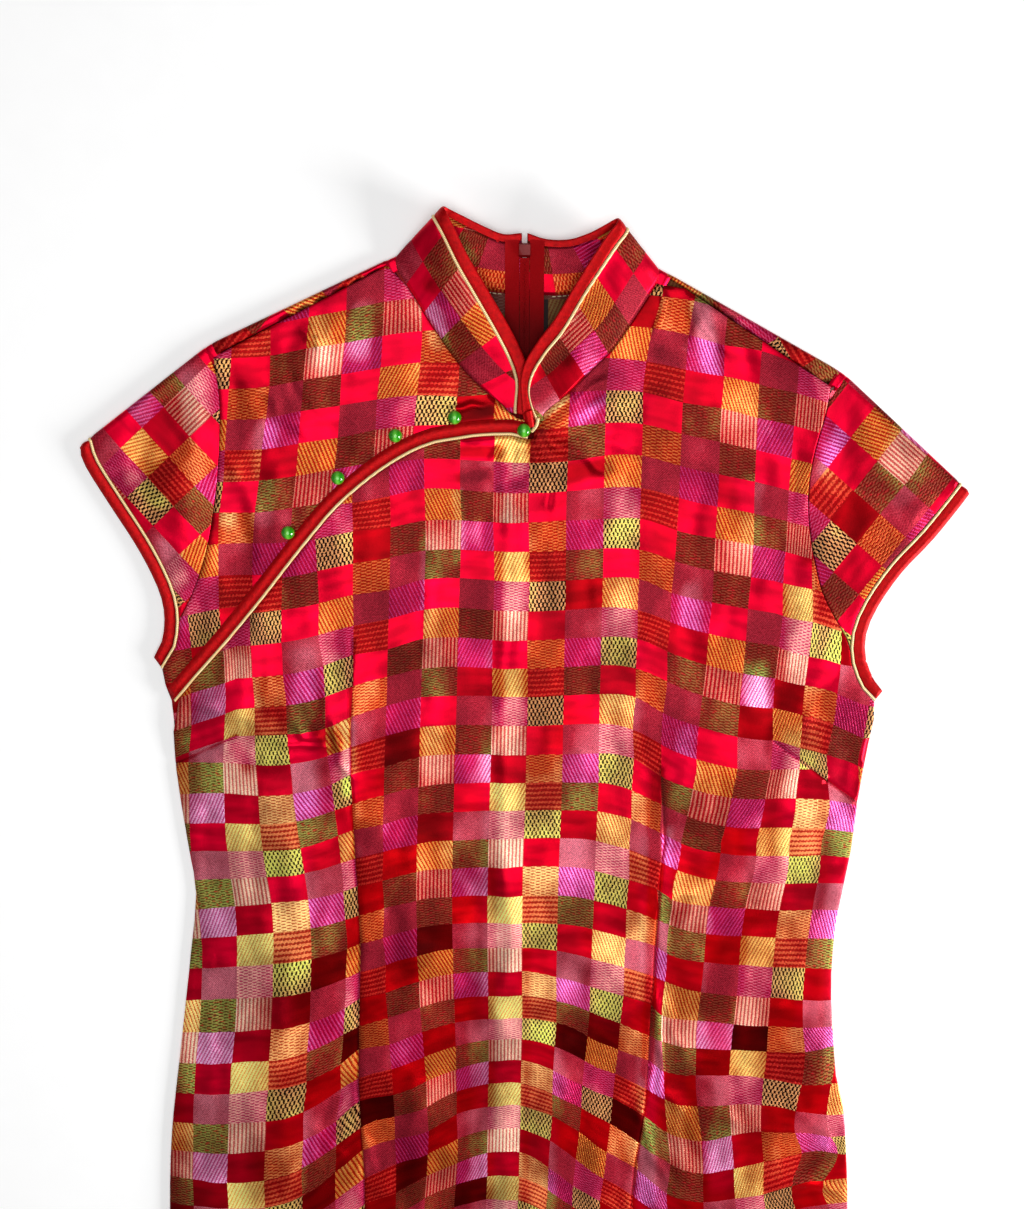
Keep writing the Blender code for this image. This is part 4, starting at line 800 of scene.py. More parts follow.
def recut(path, spacing, lines=(), borders=BORDERS, coarse_below=None, dense=()):
    """Even triangles inside a flat outline, with edges along the given lines."""
    loop, inward = wound(path, spacing)
    closed = np.vstack([loop, loop[:1]])
    low, rise = loop.min(0), spacing * math.sqrt(3) / 2
    grid = staggered(low, loop.max(0), spacing, rise)
    if coarse_below is not None:
        column = np.floor(grid[:, 0] / spacing).astype(int)
        row = np.round((grid[:, 1] - low[1]) / rise).astype(int)
        grid = grid[(grid[:, 1] >= coarse_below) | (column % 3 == 0) & (row % 3 == 0)]
    rings = [loop + inward * d for d in borders]
    rings = [r[(path_distance(r, closed) > 0.93 * d) & inside(r, loop)]
             for r, d in zip(rings, borders)]
    grid = grid[inside(grid, loop)]
    grid = grid[path_distance(grid, closed) > borders[-1] + 0.5 * spacing]
    grid = np.vstack([grid] + rings)
    for a, b, width in dense:
        grid = closer(grid, a, b, width, loop)
    verts, edges = [loop], []
    count = len(loop)
    for line in lines:
        line = spaced(line, spacing)
        grid = grid[path_distance(grid, line) > 0.45 * spacing]
        edges += [(count + i, count + i + 1) for i in range(len(line) - 1)]
        count += len(line)
        verts.append(line)
    verts.append(grid)
    verts = [Vector(p) for p in np.vstack(verts)]
    flat, _, tris, *_ = delaunay_2d_cdt(verts, edges, [list(range(len(loop)))], 1, 1e-5)
    # Points left over outside the outline go.
    used, tris = np.unique(np.array(tris), return_inverse=True)
    return np.array([tuple(p) for p in flat])[used], tris.reshape(-1, 3), loop


def smoothstep(low, high, value):
    t = np.clip((value - low) / (high - low), 0, 1)
    return t * t * (3 - 2 * t)


# ------------------------------------------------------------------ skins of the solids
SAME_SIDE = 0.95                        # radians that neighbouring faces of one side may turn
FACES_UP = 0.3                          # least upward part of an upper face's normal


def outer_skin(node, folded=False):
    """The outer faces of a cloth solid: welded points, triangles and border loop."""
    bm = bmesh.new()
    bm.from_mesh(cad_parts[node].data)
    bmesh.ops.remove_doubles(bm, verts=bm.verts, dist=1e-6)
    bm.normal_update()
    bm.faces.ensure_lookup_table()
    if folded:
        seed = min(bm.faces, key=lambda f: f.calc_center_median().z + f.normal.z * 0.001
                   - f.calc_area() * 0.01)
        keep, edge = {seed}, [seed]
        while edge:
            face = edge.pop()
            for e in face.edges:
                for other in e.link_faces:
                    if other not in keep and face.normal.angle(other.normal, 3.2) < SAME_SIDE:
                        keep.add(other)
                        edge.append(other)
    else:
        keep = {f for f in bm.faces if f.normal.z > FACES_UP}
    keep = sorted(keep, key=lambda f: f.index)
    follow = {}
    for f in keep:
        for l in f.loops:
            if not any(g in keep for g in l.edge.link_faces if g != f):
                follow[l.vert.index] = l.link_loop_next.vert.index
    start = min(follow)
    loop, at = [start], follow[start]
    while at != start:
        loop.append(at)
        at = follow[at]
    points = np.array([tuple(v.co) for v in bm.verts]) * 1000.0
    tris = [[v.index for v in f.verts] for f in keep]
    bm.free()
    return points, tris, points[loop]


class Fold:
    """A panel that turns over a straight fold. Depth is measured inwards from its outside."""

    def __init__(self, line):
        a, b = (Vector(p) + PLAN for p in line)
        self.run = np.array((b - a).normalized())
        self.inward = np.array((-self.run[1], self.run[0]))
        if (np.array(PLAN) + (0, -250) - np.array(a)) @ self.inward < 0:
            self.inward = -self.inward
        self.start = np.array(a) + self.inward * FOLD_AXIS
        self.flips = self.run[0] * self.inward[1] - self.run[1] * self.inward[0] < 0

    def unfold(self, p):
        rel = np.array(p[:2]) - self.start
        along, away = rel @ self.run, rel @ self.inward
        if p[2] < 0.01:
            return along, -max(0.0, away)
        if p[2] > 2 * FOLD_AXIS - 0.01:
            return along, FOLD_ARC + max(0.0, away)
        return along, FOLD_ARC * math.acos(max(-1, min(1, 1 - p[2] / FOLD_AXIS))) / math.pi

    def upper(self, xy):
        rel = np.array(xy) - self.start
        return np.array((rel @ self.run, FOLD_ARC + rel @ self.inward))

    def plan(self, flat):
        away = np.where(flat[:, 1] < 0, -flat[:, 1], np.maximum(0, flat[:, 1] - FOLD_ARC))
        return self.start + flat[:, :1] * self.run + away[:, None] * self.inward

    def place(self, flat, depth, top):
        """Points in space, with the upper layer's height where it lies flat."""
        p = self.plan(flat)
        angle = np.pi * np.clip(flat[:, 1] / FOLD_ARC, 0, 1)
        reach = FOLD_AXIS - depth
        p = p - (reach * np.sin(angle))[:, None] * self.inward
        z = FOLD_AXIS - reach * np.cos(angle)
        return np.column_stack([p, np.where(flat[:, 1] >= FOLD_ARC, top - depth, z)])


def heights(xy, tree):
    """The height of a skin's upper side over each point."""
    out = []
    for x, y in xy:
        hit = tree.ray_cast(Vector((x, y, 60.0)), Vector((0, 0, -1)))[0]
        if hit is None:
            hit = tree.find_nearest(Vector((x, y, 8.0)))[0]
        out.append(hit.z)
    return np.array(out)


def evened(values, tris, fixed, rounds):
    """Values smoothed over a mesh, with some held."""
    pairs = np.vstack([tris[:, (0, 1)], tris[:, (1, 2)], tris[:, (2, 0)]])
    pairs = np.vstack([pairs, pairs[:, ::-1]])
    count = np.bincount(pairs[:, 0], minlength=len(values)).astype(float)
    out = values.copy()
    for _ in range(rounds):
        total = np.bincount(pairs[:, 0], weights=out[pairs[:, 1]], minlength=len(values))
        out = np.where(fixed, out, total / np.maximum(count, 1))
    return out


# ------------------------------------------------------------------ creases
FRAME_UNITS = 1.45                      # of the camera's frame in a millimetre of cloth
LOWER_LIGHT, LIGHT_FALL = 0.26, 0.33    # light caught by the skirt, and less by the chest
SLOPE = (40, 170)                       # where up the cloth the one becomes the other
SEAM_SHADE = (1.1, 1.1)                 # how dark a seam's shadow is, and how wide


def crease_ends(crease):
    return [np.array(touch(u, v, level=6.0))[:2] for u, v in (crease[:2], crease[2:4])]


def by_run(xy, a, b):
    """Places by a straight run: their share along it, how far aside, and its length."""
    run = b - a
    length = np.hypot(*run)
    t = ((xy - a) @ run) / length ** 2
    side = ((xy - a) @ np.array((-run[1], run[0]))) / length
    return t, side, length


def crease_height(xy):
    """Height that the listed creases give to the upper layer."""
    total = np.zeros(len(xy))
    for i, crease in enumerate(CREASES):
        (a, b), (width, rise) = crease_ends(crease), crease[4:]
        width = width / FRAME_UNITS
        near = (np.abs(xy - (a + b) / 2).max(1)
                < np.hypot(*(b - a)) / 2 + 3.5 * width)
        t, side, length = by_run(xy[near], a, b)
        bend = np.array([noise.noise(Vector((q * 2.3, i * 7.1, 0.0))) for q in t])
        side = side + bend * width * 0.9 + (t - 0.5) ** 2 * width * (0.8 if i % 2 else -0.8)
        fade = np.exp(-np.where(t < 0, (t * length / (1.4 * width)) ** 2,
                                np.where(t > 1, ((t - 1) * length / (1.4 * width)) ** 2, 0)))
        shape = np.exp(-(side / (0.55 * width)) ** 2)
        total[near] += rise * fade * shape * (1 - 0.35 * np.clip(t, 0, 1))
    return total


def light_caught(xy, seams=()):
    """How much light the cloth catches at each place, with its seams in shadow."""
    total = LOWER_LIGHT - LIGHT_FALL * smoothstep(*SLOPE, xy[:, 1])
    for gleam in GLEAMS:
        (a, b), (width, amount) = crease_ends(gleam), gleam[4:]
        width = width / FRAME_UNITS
        t, side, length = by_run(xy, a, b)
        over = np.maximum(0, np.maximum(-t, t - 1)) * length
        total += amount * np.exp(-(side / width) ** 4 - (over / (0.8 * width)) ** 2)
    for seam in seams:
        total -= SEAM_SHADE[0] * np.exp(-(path_distance(xy, seam) / SEAM_SHADE[1]) ** 2)
    return np.clip(total + ripple(xy, 4.9, 18.0, 0.14), -1, 1)


def ripple(xy, seed, size, height):
    """Low uneven swells."""
    return np.array([noise.noise(Vector((x / size, y / size, seed)))
                     + 0.5 * noise.noise(Vector((x / size * 2.3, y / size * 2.3, seed + 9)))
                     for x, y in xy]) * height


def drape(xy):
    """Long soft folds down the cloth and low swells between them."""
    return (ripple(xy * (1.0, 0.3), 3.1, 34.0, 1.8) + ripple(xy, 12.7, 20.0, 0.6)
            + ripple(xy * (0.35, 1.0), 21.3, 36.0, 0.6))


# ------------------------------------------------------------------ lattice on the pieces
STIFFNESS = 0.004                       # how far the lattice may pass its marks by


def bent_sheet(places, values):
    """A smooth surface through values at places, as a function."""
    places = np.asarray(places, float) / 100.0
    gap = np.linalg.norm(places[:, None] - places[None], axis=2)
    pull = np.where(gap > 0, gap ** 2 * np.log(np.maximum(gap, 1e-9)), 0.0)
    n = len(places)
    side = np.column_stack([np.ones(n), places])
    system = np.block([[pull + STIFFNESS * np.eye(n), side], [side.T, np.zeros((3, 3))]])
    weights = np.linalg.solve(system, np.vstack([np.asarray(values, float), np.zeros((3, 2))]))

    def read(points):
        points = np.asarray(points, float) / 100.0
        out = np.column_stack([np.ones(len(points)), points]) @ weights[n:]
        for i in range(0, len(points), 4000):
            gap = np.linalg.norm(points[i:i + 4000, None] - places[None], axis=2)
            out[i:i + 4000] += (gap ** 2 * np.log(np.maximum(gap, 1e-9))) @ weights[:n]
        return out
    return read


def frame_place(points):
    """Where points lie in the camera's frame."""
    rel = points - np.array(EYE)
    depth = -rel[:, 1] * math.sin(TILT) - rel[:, 2] * math.cos(TILT)
    up = rel[:, 1] * math.cos(TILT) - rel[:, 2] * math.sin(TILT)
    return np.column_stack([MIDDLE[0] + FOCAL * rel[:, 0] / depth,
                            MIDDLE[1] - FOCAL * up / depth])


DART_FADE = (70, 190)                   # how far above a bust dart its take-up dies away
LINE_NUDGE = {-2: 1.5, 7: -1.5}         # lines on a waist dart, read just beside it
HEM_STEPS = (5, 9, 13)                  # squares past the last mark, evenly to the hem


def dart_take(name, u, v, side):
    """What a dart takes from the lattice on the side where it is counted."""
    path = np.array(DARTS[name])
    if name.startswith("waist"):
        take = np.interp(v, path[:, 1], path[:, 2])
        return take * (side if name == "waist_left" else ~side)
    order = np.argsort(path[:, 0])
    take = np.interp(u, path[order, 0], path[order, 2])
    line = np.interp(u, path[order, 0], path[order, 1])
    return take * side * (1 - smoothstep(*DART_FADE, line - v))


def dart_sides(name, u, v):
    """Whether places lie left of a waist dart, or above a bust dart."""
    path = np.array(DARTS[name])
    if name.startswith("waist"):
        return u < np.interp(v, path[:, 1], path[:, 0])
    order = np.argsort(path[:, 0])
    return v < np.interp(u, path[order, 0], path[order, 1])


def dart_shift(u, v, side_u=None, side_v=None):
    """Lattice taken up by the darts, across and along, between a place and the middle."""
    side_u, side_v = (u, v) if side_u is None else (side_u, side_v)
    out = np.zeros((len(u), 2))
    for name in DARTS:
        side = dart_sides(name, side_u, side_v)
        take = dart_take(name, u, v, side)
        if name == "waist_left":
            out[:, 0] += take
        elif name == "waist_right":
            out[:, 0] -= take
        else:
            out[:, 1] += take
    return out


def lattice_sheet(marks, skin, darts=False):
    """The lattice as a function of the plan, from its marks."""
    places, values = [], []
    for line, rows in marks.items():
        for row, u, v in rows:
            hit = touch(u, v, skin)
            shift = np.zeros(2)
            if darts:
                beside = u + LINE_NUDGE.get(line, 0.0)
                shift = dart_shift(np.array([beside]), np.array([v]))[0]
            places.append((hit.x, hit.y))
            values.append(np.array((line, row)) + shift)
        if darts:
            (x, y), last = places[-1], values[-1]
            for step in HEM_STEPS:
                places.append((x, y - step * SQUARE[1]))
                values.append(last + (0, step))
    return bent_sheet(places, values)


def lattice_uv(points, tris, sheet, darts=False):
    """Lattice coordinates for each corner of each triangle."""
    if not darts:
        return sheet(points[:, :2])[tris].reshape(-1, 2)
    base = sheet(points[:, :2])[tris]
    seen = frame_place(points)[tris]
    middle = seen.mean(1)
    out = []
    for k in range(3):
        shift = dart_shift(seen[:, k, 0], seen[:, k, 1], middle[:, 0], middle[:, 1])
        out.append(base[:, k] - shift)
    return np.stack(out, 1).reshape(-1, 2)


# ------------------------------------------------------------------ making pieces
def strip_faces(rows, columns, wrap=False):
    """Quads between rows of points, each row as long, closed round or not."""
    return [[i * columns + j, i * columns + k, (i + 1) * columns + k, (i + 1) * columns + j]
            for i in range(rows - 1) for j in range(columns - (not wrap))
            for k in [(j + 1) % columns]]


def make_piece(name, points, faces, materials, corners=None, thick=None, body="dress",
               light=None):
    """A mesh object from points in millimetres, riding on a body."""
    mesh = bpy.data.meshes.new(name)
    mesh.from_pydata((np.asarray(points) * MM).tolist(), [], [list(map(int, f)) for f in faces])
    mesh.shade_smooth()
    layer = mesh.uv_layers.new(name="lattice")
    if corners is not None:
        layer.uv.foreach_set("vector", np.asarray(corners, np.float32).ravel())
    if light is not None:
        order = np.concatenate([np.asarray(f, int) for f in faces])
        caught = np.column_stack([light[order], np.zeros(len(order))]).astype(np.float32)
        mesh.uv_layers.new(name="light").uv.foreach_set("vector", caught.ravel())
    for material in materials:
        mesh.materials.append(material)
    obj = bpy.data.objects.new(name, mesh)
    bpy.context.scene.collection.objects.link(obj)
    if thick:
        wall = obj.modifiers.new("cloth", "SOLIDIFY")
        wall.thickness = thick * MM
        wall.offset = -1.0
        wall.material_offset = 1 if len(materials) > 1 else 0
        wall.material_offset_rim = 0
    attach(obj, body)
    return obj


NARROW = 13                             # a crease under this width gets closer points
COARSE_BELOW = -245.0                   # the plain skirt from here down has fewer
CLOSE_SHARE, CLOSE_DART = 0.38, 1.1     # their reach, by a crease's width and at a dart
DART_DIP = (0.9, 1.5)                   # depth and width of the groove along a dart
FRONT_CALM, FOLDED_CALM = 12, 14        # where folds reach their height, from the edge
FRONT_ROUNDS, FOLDED_ROUNDS = 24, 8     # of smoothing over the solid's facets
ROUND_OFF, ROUND_REACH = 0.4, 1.6       # how a cloth's edge rounds off


def front_panel(node, spacing, marks, darts=False):
    """A panel of the front, cut fine and laid on its solid."""
    points, faces, loop = outer_skin(node)
    tree = BVHTree.FromPolygons(points.tolist(), faces)
    lines = []
    if darts:
        for path in DARTS.values():
            lines.append(np.array([tuple(touch(u, v, tree))[:2] for u, v, _ in path]))
    narrow = [(*crease_ends(c), c[4] * CLOSE_SHARE) for c in CREASES if c[4] < NARROW]
    narrow += [(a, b, CLOSE_DART) for line in lines for a, b in zip(line[:-1], line[1:])]
    flat, tris, loop = recut(loop[:, :2], spacing, lines, coarse_below=COARSE_BELOW, dense=narrow)
    z = heights(flat, tree)
    edge = path_distance(flat, np.vstack([loop, loop[:1]]))
    z = evened(z, tris, edge < EDGE_CLEAR, FRONT_ROUNDS)
    sheet = lattice_sheet(marks, tree, darts)
    rise = (crease_height(flat) + drape(flat)) * smoothstep(0, FRONT_CALM, edge)
    for line in lines:
        rise -= DART_DIP[0] * np.exp(-(path_distance(flat, line) / DART_DIP[1]) ** 2)
    z = z + rise - ROUND_OFF * (1 - smoothstep(0, ROUND_REACH, edge))
    xyz = np.column_stack([flat, z])
    return make_piece(node + "_cloth", xyz, tris, [LOOKS["brocade"], LOOKS["reverse"]],
                      lattice_uv(xyz, tris, sheet, darts), CLOTH, light=light_caught(flat, lines))


def folded_panel(node, spacing, fold_name, lattice=None, crown=ROUND_OFF, reach=ROUND_REACH,
                 materials=None, thick=CLOTH, pucker=0.0, tube=None, borders=BORDERS):
    """A panel that goes round a fold, cut fine and laid on its solid."""
    fold = Fold(FOLD_LINES[fold_name])
    points, faces, loop = outer_skin(node, folded=True)
    tree = BVHTree.FromPolygons(points.tolist(), faces)
    flat_loop = np.array([fold.unfold(p) for p in loop])
    if tube:
        flat_loop = widened(flat_loop, SEAM)
    span = flat_loop[:, 0].min(), flat_loop[:, 0].max()
    lines = [np.array([(span[0] - 5, y), (span[1] + 5, y)]) for y in np.linspace(0, FOLD_ARC, 5)]
    flat, tris, flat_loop = recut(flat_loop, spacing, lines, borders)
    plan = fold.plan(flat)
    upper = flat[:, 1] >= FOLD_ARC
    top = np.full(len(flat), 2 * FOLD_AXIS)
    top[upper] = heights(plan[upper], tree)
    edge = path_distance(flat, np.vstack([flat_loop, flat_loop[:1]]))
    top = evened(top, tris, (edge < 1.0) | ~upper, FOLDED_ROUNDS)
    if tube:
        across = np.maximum(0.0, tube - edge)
        depth = tube - np.sqrt(np.maximum(0.0, tube ** 2 - across ** 2))
        depth = depth - CORD_LIFT * (flat[:, 1] > 0)
    else:
        depth = crown * (1 - smoothstep(0, reach, edge))
        calm = smoothstep(0, FOLDED_CALM, edge)
        soft = smoothstep(FOLD_ARC, FOLD_ARC + 12, flat[:, 1])
        depth -= (crease_height(plan) + drape(plan)) * calm * soft
        under = smoothstep(-4, -30, flat[:, 1])
        depth += np.abs(ripple(plan, 8.7, 70.0, 1.6)) * calm * under
        depth += pucker * np.abs(ripple(flat, 2.2, 5.0, 1.0)) * smoothstep(0, 2, edge)
    xyz = fold.place(flat, depth, top)
    xyz[:, 2] = np.maximum(0.0, xyz[:, 2])
    if fold.flips:
        tris = tris[:, ::-1]
    corners = None
    if lattice is not None:
        matrix = lattice(fold)
        corners = (np.column_stack([flat, np.ones(len(flat))]) @ matrix)[tris].reshape(-1, 2)
    return make_piece(node + "_cloth", xyz, tris,
                      materials or [LOOKS["brocade"], LOOKS["reverse"]], corners, thick,
                      light=None if lattice is None else light_caught(plan))


def sleeve_lattice(node):
    """The affine lattice of a sleeve, from three marks on its upper layer."""
    def solve(fold):
        rows, values = [], []
        for across, along, u, v in FOLDED_LATTICE[node]:
            rows.append((*fold.upper(tuple(touch(u, v, level=7.0))[:2]), 1.0))
            values.append((across, along))
        return np.linalg.solve(np.array(rows), np.array(values))
    return solve


def back_lattice(node):
    """A back's lattice, square to the dress on its lower layer."""
    def solve(fold):
        across, along, u, v = BACK_LATTICE[node]
        mark = fold.upper(tuple(touch(u, v, level=4.8))[:2])
        # On the lower layer the plan is start + run * x - inward * y.
        to_plan = np.array([fold.run, -fold.inward])
        matrix = to_plan / np.array(SQUARE)
        shift = np.array((across, along)) - mark @ matrix
        return np.vstack([matrix, shift])
    return solve


def strip_panel(node, spacing, crown, reach, material, tube=None, pucker=0.0):
    """A flat trim on the front, rounded off at its edges."""
    points, faces, loop = outer_skin(node)
    tree = BVHTree.FromPolygons(points.tolist(), faces)
    loop = widened(loop[:, :2], SEAM if tube else STRIP_SEAM)
    flat, tris, loop = recut(loop, spacing, borders=CORD_BORDER if tube else STRIP_BORDERS)
    z = heights(flat, tree)
    edge = path_distance(flat, np.vstack([loop, loop[:1]]))
    if tube:
        across = np.maximum(0.0, tube - edge)
        z = z + CORD_LIFT - tube + np.sqrt(np.maximum(0.0, tube ** 2 - across ** 2))
    else:
        z = z - crown * (1 - smoothstep(0, reach, edge))
        z = z + pucker * ripple(flat, 4.4, 6.0, 1.0) * smoothstep(0, 2, edge)
    return make_piece(node + "_cloth", np.column_stack([flat, z]), tris, [material], None, STRIP)


# ------------------------------------------------------------------ collar
HALF_WALL = 0.55                        # of the collar's two layers
FACING_DROP = 4.4                       # from the collar's top to the top of its facing
FOOT_COLUMN = 1.76                      # weave column at the foot of the outside
INSIDE_COLUMN = (7.0, 15.0)             # a weave column inside, and how far up it lies
STITCH, STITCH_PITCH = 2.2, 3.4         # length of a stitch, and from one to the next


def curve_point(a, b, c, d, t):
    return 0.5 * (2 * b + t * (c - a) + t * t * (2 * a - 5 * b + 4 * c - d)
                  + t ** 3 * (3 * b - a - 3 * c + d))


def collar_rings(side, steps=10):
    """Base, top and bow at close stations round a collar."""
    rows = np.array(COLLAR[side], float)
    rows[:, (0, 3)] += PLAN.x
    rows[:, (1, 4)] += PLAN.y
    rows = np.vstack([2 * rows[0] - rows[1], rows, 2 * rows[-1] - rows[-2]])
    out = []
    for a, b, c, d in zip(rows, rows[1:], rows[2:], rows[3:]):
        out += [curve_point(a, b, c, d, i / steps) for i in range(steps)]
    out = np.array(out + [rows[-2]])
    return out[:, :3], out[:, 3:6], out[:, 6]


def collar_frames(side):
    """A function for lines along the collar's wall, and the wall's height along it."""
    base, top, bow = collar_rings(side)
    height = np.linalg.norm(top - base, axis=1)

    def at(distance_from_top):
        """Middle points and outward directions at a distance below the top edge."""
        w = np.clip(1 - distance_from_top / height, 0, 1)
        line = base + (top - base) * w[:, None]
        run = np.gradient(line, axis=0)
        out = np.cross(top - base, run)
        out *= side / np.linalg.norm(out, axis=1)[:, None]
        return line + out * (bow * 4 * w * (1 - w))[:, None], out
    return at, height


def collar_cloth(side):
    """The stand collar: its outside, its facing inside and the turned edges between."""
    at, height = collar_frames(side)
    rows = 14
    grid, normal, drop = [], [], []
    for j in range(rows + 1):
        distance = TRIM + (height - TRIM) * (1 - j / rows)
        points, out = at(distance)
        grid.append(points)
        normal.append(out)
        drop.append(height - distance)
    grid, normal, drop = (np.stack(x, 1) for x in (grid, normal, drop))
    count, width = grid.shape[:2]
    middle = grid[:, width // 2]
    length = np.concatenate([[0], np.cumsum(np.linalg.norm(np.diff(middle, axis=0), axis=1))])
    start_row, u, v, turn = COLLAR_ROWS[side]
    mark = touch(u, v, level=12.0)
    nearest = np.argmin(np.hypot(middle[:, 0] - mark.x, middle[:, 1] - mark.y)
                        + 50 * (np.arange(count) < count * 0.4))
    along = start_row + turn * (length - length[nearest]) / SQUARE[1]
    swell = ripple(grid.reshape(-1, 3)[:, :2], 6.0 + side, 16.0, 0.35).reshape(count, width)
    rim = np.minimum(1.0, np.minimum(np.arange(width), width - 1 - np.arange(width)) / 2.0)
    outer = grid + normal * (HALF_WALL + swell * rim)[:, :, None]
    share = np.linspace(0, 1, width)[None, :, None]
    reach = np.stack([at(height * (1 - w) + FACING_DROP * w)[0] for w in share[0, :, 0]], 1)
    inner = reach - normal * (HALF_WALL + 0.5 * share[:, :, 0] - swell * rim)[:, :, None]
    points = np.vstack([outer.reshape(-1, 3), inner.reshape(-1, 3)])
    faces, corners = [], []

    def lattice_at(i, j, inside_face):
        if inside_face:
            row = INSIDE_ROWS[side] + side * length[i] / SQUARE[1]
            column, up = INSIDE_COLUMN
            return column + (height[i] * j / (width - 1) - up) / SQUARE[0], row
        return FOOT_COLUMN - drop[i, j] / SQUARE[0], along[i]

    def add(quad, inside_face):
        quad = quad if (side > 0) != inside_face else quad[::-1]
        offset = count * width if inside_face else 0
        faces.append([i * width + j + offset for i, j in quad])
        corners.extend(lattice_at(i, j, inside_face) for i, j in quad)

    for i in range(count - 1):
        for j in range(width - 1):
            quad = [(i, j), (i, j + 1), (i + 1, j + 1), (i + 1, j)]
            add(quad, False)
            add(quad, True)
    edge = [(i, 0) for i in range(count)] + [(count - 1, j) for j in range(1, width)]
    edge += [(i, width - 1) for i in range(count - 2, -1, -1)]
    edge += [(0, j) for j in range(width - 2, 0, -1)]
    for a, b in zip(edge, edge[1:] + edge[:1]):
        quad = [(a, 0), (b, 0), (b, 1), (a, 1)]
        quad = quad if side > 0 else quad[::-1]
        faces.append([p[0] * width + p[1] + count * width * deep for p, deep in quad])
        corners.extend(lattice_at(*p, False) for p, deep in quad)
    return make_piece(f"collar_{NAMES[side]}_cloth", points, faces, [LOOKS["brocade"]], corners,
                      light=light_caught(points[:, :2]) * 0.9)


def collar_band(name, side, centre, half_width, half_wall, material, power=2.0, around=14,
                pucker=0.0, outwards=0.0):
    """A rounded band along the collar's top edge, such as its binding or piping."""
    at, _ = collar_frames(side)
    middle, normal = at(centre)
    above, _ = at(centre - 0.5)
    up = above - middle
    up /= np.linalg.norm(up, axis=1)[:, None]
    points = []
    for k in range(around):
        angle = 2 * math.pi * k / around
        c, s = math.cos(angle), math.sin(angle)
        x = math.copysign(abs(c) ** (2 / power), c) * half_width
        y = math.copysign(abs(s) ** (2 / power), s) * half_wall
        points.append(middle + up * x + normal * (y + outwards))
    points = np.stack(points, 1)
    count = len(points)
    if pucker:
        flat = points.reshape(-1, 3)
        wrinkle = ripple(flat[:, :2] + flat[:, 2:] * 0.7, 1.7 + side, 7.0, pucker)
        points = points + normal[:, None] * wrinkle.reshape(count, around, 1)
    faces = strip_faces(count, around, wrap=True)
    faces.append(list(range(around))[::-1])
    faces.append([(count - 1) * around + k for k in range(around)])
    if side < 0:
        faces = [f[::-1] for f in faces]
    return make_piece(name, points.reshape(-1, 3), faces, [material])


def neck_seam(side):
    """The seam allowance under the collar's foot, with its stitches at the back."""
    base, _, _ = collar_rings(side, 6)
    run = np.gradient(base, axis=0)[:, :2]
    away = np.column_stack([run[:, 1], -run[:, 0]]) / np.hypot(*run.T)[:, None] * side
    foot = np.column_stack([base[:, :2], np.maximum(0.25, base[:, 2] - 0.75)])
    rows = [foot + np.column_stack([away * d, np.zeros(len(foot))]) for d in (-2.0, 0.0, 2.6)]
    points = np.stack(rows, 1).reshape(-1, 3)
    faces = strip_faces(len(foot), len(rows))
    if side < 0:
        faces = [f[::-1] for f in faces]
    obj = make_piece(f"neck_seam_{NAMES[side]}", points, faces, [LOOKS["thread"]])
    back = base[(np.abs(base[:, 0]) > 14) & (np.arange(len(base)) < len(base) * 0.3)]
    steps = np.concatenate([[0], np.cumsum(np.linalg.norm(np.diff(back, axis=0), axis=1))])
    for n, d in enumerate(np.arange(1.5, steps[-1] - 3, STITCH_PITCH)):
        ends = [[np.interp(q, steps, back[:, k]) for k in range(3)] for q in (d, d + STITCH)]
        middle = [(a + b) / 2 for a, b in zip(*ends)]
        path = [(x, y - 1.2, z + lift) for (x, y, z), lift in
                zip((ends[0], middle, ends[1]), (0.5, 1.0, 0.5))]
        tube_piece(f"neck_stitch_{NAMES[side]}_{n}", path, 0.3, LOOKS["stitch"])


RED_SQUARE = (4.2, 0.3)                 # the chart's place for the plain seam ends


def seam_end(side, name, places, reach):
    """A seam allowance that closes the end of a fold, from the back to the front."""
    folds = {n: Fold(FOLD_LINES[f"{n}_{side}"]) for n in ("back", "sleeve")}
    across = np.concatenate([np.linspace(-reach, 0, 6), np.linspace(0, FOLD_ARC, 9)[1:],
                             np.linspace(FOLD_ARC, FOLD_ARC + reach, 6)[1:]])
    rows = []
    for fold, along in places:
        flat = np.column_stack([np.full(len(across), along), across])
        rows.append(folds[fold].place(flat, np.full(len(across), 0.45), np.full(len(across), 4.9)))
    points = np.stack(rows, 1).reshape(-1, 3)
    count = len(places)
    faces = strip_faces(len(across), count)
    if side == "right":
        faces = [f[::-1] for f in faces]
    column, row = RED_SQUARE
    corners = [(column + (k % count) * 0.1, row + across[k // count] / SQUARE[1])
               for f in faces for k in f]
    obj = make_piece(f"{name}_{side}", points, faces,
                     [LOOKS["brocade"], LOOKS["reverse"]], corners, 0.3)
    return obj


